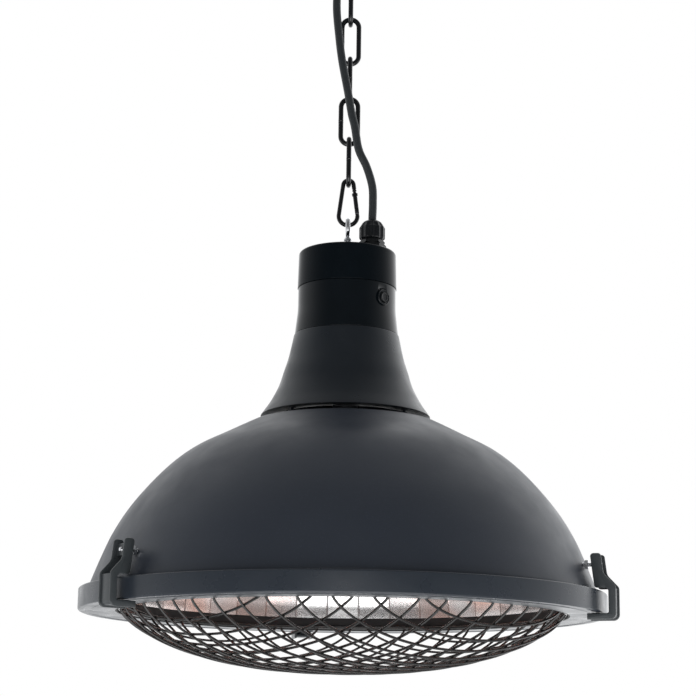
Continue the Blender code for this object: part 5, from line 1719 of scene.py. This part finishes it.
    def build(self) -> None:
        """Builds the shade's pieces."""
        look = self.looks
        self.fit(self.dome(), "domed_shade", look.shade, "dome_shade", sharp=40)
        self.fit(self.rim(), "shade_rim", look.rim, "rim_ring", sharp=40)
        self.fit(self.inner_ring(), "black_ring", look.inner_ring, "inner_ring")
        self.fit(self.reflector(), "faceted_reflector", look.reflector, "reflector", sharp=5.5)


@dataclass
class HeatingElement(SubAssembly):
    """The ring heating tube with its coil, ceramic ends, leads and clips."""

    ring: float = 0.140  # the ring's radius, at the tube's middle
    height: float = -0.6524  # the tube's height
    radius: float = 0.006  # the tube's radius
    wall: float = 0.0009  # its wall
    gap: float = math.radians(24)  # the angle that the ring leaves open at the back
    coil_radius: float = 0.0037  # the heating coil's radius
    coil_wire: float = 0.00035  # its wire's radius
    coil_turns: int = 150  # how many turns it has
    end_radius: float = 0.0085  # the ceramic ends' radius
    end_length: float = 0.016  # their length
    lead: float = 0.0012  # the leads' radius
    lead_spread: float = 0.004  # how far from the middle the leads rise
    lead_over: float = -0.5981  # the height at which they cross the reflector's back
    lead_top: float = -0.4124  # how high they reach
    # Where the clips stand, from the front
    clip_angles: tuple[float, ...] = tuple(math.radians(turn) for turn in (-60, 60, 150))
    clip_wire: float = 0.0012  # their wire's radius
    clip_play: float = 0.0009  # the clearance between clip and tube
    clip_wrap: float = math.radians(250)  # how far round the tube they bend
    clip_top: float = -0.6232  # the height of the reflector over the clips

    def ring_line(self, slack: float, count: int) -> np.ndarray:
        """Places on the ring from one ceramic end round the front to the other.

        Args:
            slack: The angle kept clear at each end.
            count: How many places.

        Returns:
            The places.
        """
        turn = np.linspace(math.pi + self.gap / 2 + slack, 3 * math.pi - self.gap / 2 - slack, count)
        flat = np.full(count, self.height)
        return np.stack([self.ring * np.sin(turn), -self.ring * np.cos(turn), flat], axis=-1)

    def tube(self) -> Shell:
        """The quartz tube: an outer and an inner skin round the ring, joined at both ends.

        Returns:
            The tube's surface.
        """
        rings = 160
        track = Track(self.ring_line(0.003, 200), reference=(0.0, 0.0, 1.0))
        along = np.linspace(0, track.length, rings)
        outer = track.sweep(along, np.full(rings, self.radius), 20)
        inner = track.sweep(along, np.full(rings, self.radius - self.wall), 20)
        return Shell().grid(np.concatenate([outer, inner[::-1]]), True)

    def coil(self) -> Shell:
        """The coil: ring place + coil radius * (outwards cos n t + up sin n t), as a fine four-sided wire.

        Returns:
            The coil's surface.
        """
        count = self.coil_turns * 10
        line = self.ring_line(0.02, count)
        phase = np.linspace(0, self.coil_turns * FULL_TURN, count)[:, None]
        away = unit(line * [1, 1, 0])
        places = line + self.coil_radius * (away * np.cos(phase) + UP * np.sin(phase))
        ahead = unit(np.gradient(places, axis=0))
        side = unit(line - places)
        rise = np.cross(ahead, side)
        turn = np.arange(4) * math.pi / 2
        ringed = side[:, None] * np.cos(turn)[None, :, None] + rise[:, None] * np.sin(turn)[None, :, None]
        grid = places[:, None] + ringed * self.coil_wire
        return Shell().grid(grid).lid(grid[0]).lid(grid[-1])

    def end_frame(self, side: int) -> Frame:
        """The frame of a ceramic end, with Z the way the tube leaves it.

        Args:
            side: 1 or -1.

        Returns:
            The frame, at the end's middle.
        """
        away = outward(math.pi + side * self.gap / 2)
        ahead = np.cross(UP, away) * side
        return Frame.towards(away * self.ring - ahead * self.end_length / 2 + UP * self.height, ahead)

    def end(self, side: int) -> Shell:
        """A ceramic end: a turned block with two grooves and softened edges.

        Args:
            side: 1 or -1.

        Returns:
            The end's surface.
        """
        half, radius = self.end_length / 2, self.end_radius
        sunk = radius - 0.0012
        corners = [
            (0, -half), (radius, -half), (radius, -0.0035), (sunk, -0.0030), (sunk, -0.0015), (radius, -0.0010),
            (radius, 0.0020), (sunk, 0.0025), (sunk, 0.0040), (radius, 0.0045), (radius, half), (0, half),
        ]
        soft = (0, 0.0010, *(0.0004,) * 8, 0.0010, 0)
        return Shell().turn(rounded(corners, soft, 3), self.end_frame(side), 48)

    def lead_wire(self, side: int) -> Shell:
        """A sleeved lead: up through the reflector, over to the middle and up the conduit.

        Args:
            side: 1 or -1.

        Returns:
            The lead's surface.
        """
        x, y, _ = self.end_frame(side).origin
        lane = -side * self.lead_spread
        over, low = self.lead_over, self.height + self.end_radius + FIT
        corners = [(x, y, low), (x, y, over), (lane, y / 2, over), (lane, 0, over + self.lead_spread),
                   (lane, 0, -0.4364), (lane, 0, self.lead_top)]
        track = Track(rounded(corners, (0, 0.006, 0.01, 0.008, 0, 0), 6), reference=(1.0, 0.35, 0.0))
        return Shell().rod(track, self.lead, 0.002, 12, 0.0002)

    def clip(self, angle: float) -> Shell:
        """A clip: a wire stem from the reflector, bent round the tube.

        Args:
            angle: Where it stands, from the front.

        Returns:
            The clip's surface.
        """
        bend = self.radius + self.clip_play + self.clip_wire
        wrap = arc((self.ring, self.height), bend, math.pi / 2, math.pi / 2 - self.clip_wrap, 28)
        line = np.concatenate([[(self.ring, self.clip_top)], wrap])
        line = rounded(line, np.concatenate([[0, 0.003], np.zeros(len(line) - 2)]), 6)
        frame = Frame.profile(angle, 0.0)
        places = frame.place(np.concatenate([line, np.zeros((len(line), 1))], axis=1))
        return Shell().rod(Track(places, reference=tuple(frame.z)), self.clip_wire, 0.0012, 12, 0.0004)

    def build(self) -> None:
        """Builds the heating element's pieces."""
        look = self.looks
        self.fit(self.tube(), "quartz_tube", look.quartz, "heating_tube")
        self.fit(self.coil(), "heating_coil", look.coil, sharp=80)
        for side, name in ((-1, "left"), (1, "right")):
            self.fit(self.end(side), f"ceramic_end_{name}", look.ceramic, f"tube_end_{name}")
            self.fit(self.lead_wire(side), f"sleeved_lead_{name}", look.sleeve, f"element_lead_{name}")
        for number, angle in enumerate(self.clip_angles, 1):
            self.fit(self.clip(angle), f"wire_clip_{number}", look.zinc, f"tube_clip_{number}")


@dataclass
class WireGuard(SubAssembly):
    """The domed guard: a border ring and two crossing families of wires, on a dome flat in its middle."""

    radius: float = 0.2109  # the border ring's radius
    height: float = -0.7074  # its height
    depth: float = 0.0565  # how deep the dome hangs under it
    # How round the dome is at its middle, and how full towards its border
    powers: tuple[float, float] = (2.4, 0.7)
    pitch: float = 0.0237  # the distance between wires
    turn: float = math.radians(45)  # how far the two families are turned from the front, each its own way
    wire: float = 0.0012  # the wires' radius
    lift: float = 1.85  # how much higher the second family lies, in wire radii
    settle: float = 0.010  # how far from the ring it reaches that height
    border: float = 0.002  # the border wire's radius

    def dome_height(self, radius: np.ndarray) -> np.ndarray:
        """The dome's height at this radius: border height - depth * (1 - (r / R) ** p) ** q."""
        round_power, full_power = self.powers
        rise = 1 - np.clip(radius / self.radius, 0, 1) ** round_power
        return self.height - self.depth * rise**full_power

    def guard(self) -> Shell:
        """The border ring and the wires, the second family lying on the first.

        Seen from above, a wire is a chord of the ring. It lies at dome_height, and the second family settles on
        the ring at both ends.

        Returns:
            The guard's surface.
        """
        steps = 240
        turn = around(steps)
        ring = [self.radius * np.cos(turn), self.radius * np.sin(turn), np.full(steps, self.height)]
        shell = Shell().rod(Track(np.stack(ring, axis=-1), True, (0.0, 0.0, 1.0)), self.border, 0.0055, 16)
        most = int(self.radius / self.pitch - 0.5)
        for angle, lift in ((self.turn, 0.0), (-self.turn, self.lift * self.wire)):
            across = outward(angle)
            ahead = np.cross(UP, across)
            for offset in np.arange(-most, most + 1) * self.pitch:
                half = math.sqrt(self.radius**2 - offset**2) - 0.1 * self.border
                run = half * np.sin(np.linspace(-math.pi / 2, math.pi / 2, max(12, int(half / 0.003))))
                places = across * offset + ahead * run[:, None]
                settle = np.clip((half - np.abs(run)) / self.settle, 0, 1)
                places[:, 2] = self.dome_height(np.hypot(places[:, 0], places[:, 1])) + lift * settle
                shell.rod(Track(places, reference=tuple(across)), self.wire, 0.005, 10, 0.0003)
        return shell

    def build(self) -> None:
        """Builds the guard."""
        self.fit(self.guard(), "wire_guard", self.looks.wire, "guard", sharp=50)


@dataclass
class RimClamps(SubAssembly):
    """Three clamps that hold the guard's ring and the rim to the shade."""

    # Where they stand, from the front
    angles: tuple[float, ...] = tuple(math.radians(turn) for turn in (-51.5, 71, 190))
    rim: float = -0.7104  # the height of the rim's underside
    width: float = 0.0200  # a clamp's width
    cheek: float = 0.0022  # the thickness of each cheek
    edge: float = 0.0008  # the radius of the cheeks' edges
    outer: float = 0.2640  # how far out the arm reaches
    arm: float = 0.0068  # the arm's width
    tip: float = 0.2375  # how far in the foot reaches
    head_inner: float = 0.2410  # the head's inner radius
    head_outer: float = 0.2510  # the head's outer radius
    head_round: float = 0.0030  # the radius of its two upper corners
    top: float = 0.0532  # the head's height over the rim's underside
    head_foot: float = 0.0216  # the height of the head's lower edge
    lean: float = 0.0036  # how far out the head's inner edge leans on its way down
    shoulder: float = 0.0345  # where the head's slant starts
    elbow: float = 0.0235  # where it ends
    foot_top: float = -0.0012  # the height of the foot's upper edge
    foot: float = -0.0070  # the height of its lower edge
    corner: float = 0.0055  # the radius of the outer lower corner
    slant: float = 0.0020  # how far the slanted edges move
    recess: float = 0.0015  # how far the web is set in
    web: float = 0.0020  # the web's thickness
    boss: tuple[float, float] = (0.2440, 0.2480)  # the inner and the outer radius of the bolt's boss
    bolt_height: float = 0.0436  # the bolt's height
    bolt_radius: float = 0.0020  # its radius
    bolt_end: float = 0.2500  # how far out it reaches
    shade_inside: float = 0.2274  # the shade's inner radius at the bolt
    shade_outside: float = 0.2342  # its outer radius there, where the nut is
    nut_corner: float = 0.0046  # the nut's radius at its corners
    nut_height: float = 0.0035  # its thickness
    pad_place: float = 0.2435  # how far out the pad is
    pad_radius: float = 0.0040  # its radius

    def cheek_outline(self) -> np.ndarray:
        """A cheek's outline as (radius, height) pairs, with every corner a little rounded.

        Returns:
            The outline, without repeated places.
        """
        inner_arm = self.outer - self.arm
        middle = (self.outer - self.corner, self.foot + self.corner)
        head = self.head_round
        corners = np.concatenate([
            arc((self.head_inner + head, self.top - head), head, math.pi, math.pi / 2, 7),
            arc((self.head_outer - head, self.top - head), head, math.pi / 2, 0, 7),
            [(self.head_outer + self.slant, self.shoulder), (self.outer - self.slant / 4, self.elbow)],
            [(self.outer, self.elbow - self.slant)],
            arc(middle, self.corner, 0, -math.pi / 2, 11),
            [(self.tip, self.foot), (self.tip, self.foot_top), (inner_arm, self.foot_top)],
            [(inner_arm, self.head_foot - self.slant), (inner_arm - self.slant, self.head_foot)],
            [(self.head_inner + self.lean, self.head_foot)],
        ])
        soft = [*(0,) * 14, 0.003, 0.003, 0.001, *(0,) * 11, 0.0007, 0.0007, 0.0016, 0.001, 0.001, 0.0028]
        smoothed = rounded(corners, soft, 4, True)
        keep = np.linalg.norm(smoothed - np.roll(smoothed, 1, 0), axis=1) > 1e-5
        return smoothed[keep]

    def web_outline(self) -> np.ndarray:
        """The web's outline, set in from the cheeks' outer edge along the arm and the foot.

        Returns:
            The outline.
        """
        out, low = self.outer - self.recess, self.foot + self.recess
        radius = self.corner - self.recess
        middle = (out - radius, low + radius)
        return np.concatenate([
            [(out, self.elbow - self.slant)],
            arc(middle, radius, 0, -math.pi / 2, 9),
            [(self.tip + self.recess, low), (self.tip + self.recess, low + self.web)],
            arc(middle, radius - self.web, -math.pi / 2, 0, 9),
            [(out - self.web, self.elbow - self.slant)],
        ])

    def clamp(self, angle: float) -> Shell:
        """A clamp: two cheeks, with the web and the bolt's boss let into both.

        Args:
            angle: Where it stands, from the front.

        Returns:
            The clamp's surface.
        """
        frame = Frame.profile(angle, self.rim)
        half, inside = self.width / 2, self.width / 2 - self.cheek
        (near, far), tall = self.boss, 0.0055
        low, high = self.bolt_height - tall, self.bolt_height + tall
        boss = rounded([(near, low), (far, low), (far, high), (near, high)], 0.0008, 3, True)
        shell = Shell().slab(self.cheek_outline(), inside, half, frame, self.edge)
        shell.slab(self.cheek_outline(), -half, -inside, frame, self.edge)
        for outline in (self.web_outline(), boss):
            shell.slab(outline, -inside - 0.0004, inside + 0.0004, frame, 0.0001)
        return shell

    def pad(self, angle: float) -> Shell:
        """The soft pad that presses on the rim: a short stud with a groove round it.

        Args:
            angle: Where it stands, from the front.

        Returns:
            The pad's surface.
        """
        floor = self.foot + self.recess + self.web - 0.0002
        radius, sunk = self.pad_radius, self.pad_radius - 0.0005
        corners = [(0, -FIT), (radius, -FIT), (radius, -0.0013), (sunk, -0.0017), (sunk, -0.0023),
                   (radius, -0.0027), (radius, floor), (0, floor)]
        profile = rounded(corners, (0, 0.0008, *(0.0003,) * 5, 0), 3)
        return Shell().turn(profile, Frame.radial(angle, self.pad_place, self.rim), 40)

    def bolt(self, angle: float) -> Shell:
        """The bolt: a domed head inside the shade and a threaded shank out through the boss.

        Args:
            angle: Where it stands, from the front.

        Returns:
            The bolt's surface.
        """
        frame = Frame.towards(UP * (self.rim + self.bolt_height), outward(angle))
        inside = self.shade_inside
        head = [(0, inside - 0.0025), (0.0022, inside - 0.0024), (0.0037, inside - 0.0014),
                (0.0042, inside - 0.0004), (0.0042, inside), (0, inside)]
        shell = Shell().turn(rounded(head, 0.0006, 3), frame, 40)
        return shell.thread(frame, self.bolt_radius, inside - 0.0002, self.bolt_end, 0.0008, 20)

    def nut(self, angle: float) -> Shell:
        """The jam nut against the outside of the shade.

        Args:
            angle: Where it stands, from the front.

        Returns:
            The nut's surface.
        """
        frame = Frame.towards(UP * (self.rim + self.bolt_height), outward(angle))
        low = self.shade_outside
        return Shell().hexagon(frame, self.nut_corner, low, low + self.nut_height, self.bolt_radius - 0.0002, 72)

    def build(self) -> None:
        """Builds the three clamps with their bolts, nuts and pads."""
        look = self.looks
        for number, angle in enumerate(self.angles, 1):
            self.fit(self.clamp(angle), f"rim_clamp_{number}", look.clamp, f"clamp_{number}", sharp=50)
            self.fit(self.pad(angle), f"clamp_pad_{number}", look.rubber)
            self.fit(self.bolt(angle), f"clamp_screw_{number}", look.zinc, f"clamp_bolt_{number}", sharp=50)
            self.fit(self.nut(angle), f"jam_nut_{number}", look.zinc, f"clamp_nut_{number}", sharp=25)


# Studio


@dataclass
class Studio:
    """A plain pale floor, an even white surround, soft lamps and the camera."""

    camera_place: Place = (0.0017, -1.8, -0.8454)  # where the camera stands
    camera_tilt: float = 12.40  # how far it looks up, in degrees
    camera_roll: float = 0.77  # how far it is rolled, in degrees
    lens: float = 97.19  # its focal length, in millimetres, on a sensor 36 mm wide
    ambient: float = 0.42  # the strength of the surround as it lights the object
    # Where along the view reflections are darkest and where they are brightest
    front_to_back: tuple[float, float] = (-0.95, 0.90)
    dark_front: float = 0.14  # the strength that reflections of the surround have towards the front
    back: float = 1.4  # the strength that they have straight behind
    lift: float = 1.6  # how much farther from the dark front a reflection counts for each step downwards
    drop: float = 0.40  # how much nearer the dark front it counts for each step upwards
    bias: float = 0.6  # how much brighter they are behind on the right than behind in the middle, as a share
    floor: float = -3.6  # the floor's height
    # Each lamp's name, place, aim, size and power
    lamps: tuple[tuple[str, Place, Place, float, float], ...] = (
        ("left_lamp", (-2.0, 1.1, -0.2), (0.0, 0.0, -0.55), 1.6, 30.0),
        ("right_lamp", (2.0, 1.1, -0.2), (0.0, 0.0, -0.55), 1.6, 40.0),
        ("front_lamp", (-0.8, -2.4, 0.5), (0.0, 0.0, -0.55), 1.2, 12.0),
        ("top_lamp", (0.3, 1.2, 1.6), (0.0, 0.0, -0.50), 1.2, 5.0),
        ("low_lamp", (0.0, -1.3, -2.3), (0.0, 0.0, -0.65), 2.8, 60.0),
        ("rim_lamp", (0.05, -2.4, -0.62), (0.0, 0.0, -0.70), 0.9, 2.6),
    )
    mirrored_lamps: tuple[str, ...] = ("low_lamp", "rim_lamp")  # the lamps that reflections show

    def set_view(self) -> None:
        """Sets the plain view transform."""
        bpy.context.scene.view_settings.view_transform = "Standard"

    def set_world(self) -> None:
        """The surround: white to the camera, softer as light, and in reflections darker towards the front.

        A reflection's strength rises smoothly from dark_front, where it looks straight to the front, to back,
        where it looks behind or below, and behind it also rises from left to right by the bias.
        """
        world = bpy.data.worlds.new("studio")
        bpy.context.scene.world = world
        world.use_nodes = True
        world.node_tree.nodes.clear()
        graph = NodeGraph(world.node_tree)
        x, y, z = graph.add("SeparateXYZ", graph.add("TexCoord").outputs["Generated"]).outputs
        way = graph.math("MULTIPLY_ADD", graph.math("MINIMUM", z, 0.0), -self.lift, y)
        way = graph.math("MULTIPLY_ADD", graph.math("MAXIMUM", z, 0.0), -self.drop, way)
        fall = graph.span(way, self.dark_front, self.back, *self.front_to_back, interpolation_type="SMOOTHSTEP")
        right = graph.math("MULTIPLY", x, graph.math("MAXIMUM", y, 0.0))
        strength = graph.math("MULTIPLY", fall, graph.math("MULTIPLY_ADD", right, self.bias, 1.0))
        mirrored = graph.add("Background", (0.98, 0.99, 1.0), strength).outputs[0]
        lit = graph.add("Background", (0.97, 0.985, 1.0), self.ambient).outputs[0]
        seen = graph.add("Background", (1.0, 1.0, 1.0), 1.0).outputs[0]
        rays = graph.add("LightPath").outputs
        direct = graph.math("MAXIMUM", rays["Is Camera Ray"], rays["Is Transmission Ray"])
        indirect = graph.add("MixShader", rays["Is Glossy Ray"], lit, mirrored).outputs[0]
        graph.add("OutputWorld", graph.add("MixShader", direct, indirect, seen).outputs[0])

    def set_floor(self) -> None:
        """A wide pale floor, far under the heater, which curves up at its edges."""
        flat, edge, rise = 5.0, 6.0, 0.4
        reach = np.linspace(0, edge, 25)
        lift = rise * np.clip((reach - flat) / (edge - flat), 0, 1) ** 2
        made = Shell().turn(np.stack([reach, self.floor + lift], axis=-1), None, 64).piece("floor")
        pale = Finish("pale floor", "", (0.94, 0.94, 0.94), 0.7, specular=0.2, mottle=0.01, mottle_size=0.8,
                      grain_size=0.004, grain_depth=0.0001)
        made.data.materials.append(pale.material())

    def set_lamps(self) -> None:
        """Soft square lamps, aimed at the heater and unseen by the camera."""
        for name, place, aim, size, power in self.lamps:
            data = bpy.data.lights.new(name, "AREA")
            data.size = size
            data.energy = power
            lamp = bpy.data.objects.new(name, data)
            bpy.context.scene.collection.objects.link(lamp)
            turn = (Vector(place) - Vector(aim)).to_track_quat("Z", "Y")
            lamp.matrix_world = Matrix.Translation(place) @ turn.to_matrix().to_4x4()
            lamp.visible_camera = False
            lamp.visible_glossy = name in self.mirrored_lamps

    def set_camera(self) -> None:
        """The camera, at the photograph's place, tilt and lens."""
        data = bpy.data.cameras.new("camera")
        data.lens = self.lens
        data.sensor_width = 36.0
        data.clip_start = 0.01
        data.clip_end = 50.0
        camera = bpy.data.objects.new("camera", data)
        bpy.context.scene.collection.objects.link(camera)
        tilt = Matrix.Rotation(math.radians(90 + self.camera_tilt), 4, "X")
        roll = Matrix.Rotation(math.radians(self.camera_roll), 4, "Z")
        camera.matrix_world = Matrix.Translation(self.camera_place) @ tilt @ roll
        bpy.context.scene.camera = camera

    def build(self) -> None:
        """Sets up the whole studio."""
        self.set_view()
        self.set_world()
        self.set_floor()
        self.set_lamps()
        self.set_camera()
        LOG.info("Studio: floor, %s, camera", ", ".join(lamp[0] for lamp in self.lamps))


def main() -> None:
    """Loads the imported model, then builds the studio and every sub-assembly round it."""
    logging.basicConfig(level=logging.INFO, format="%(message)s")
    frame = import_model()
    looks = Finishes()
    Studio().build()
    for kind in (SupplyCable, CeilingFitting, Chain, SnapHook, EyeBolt, CableGland, ControlHousing, Neck, Shade,
                 HeatingElement, WireGuard, RimClamps):
        part = kind(looks, frame["nodes"])
        part.build()
        part.report()


if __name__ == "__main__":
    main()
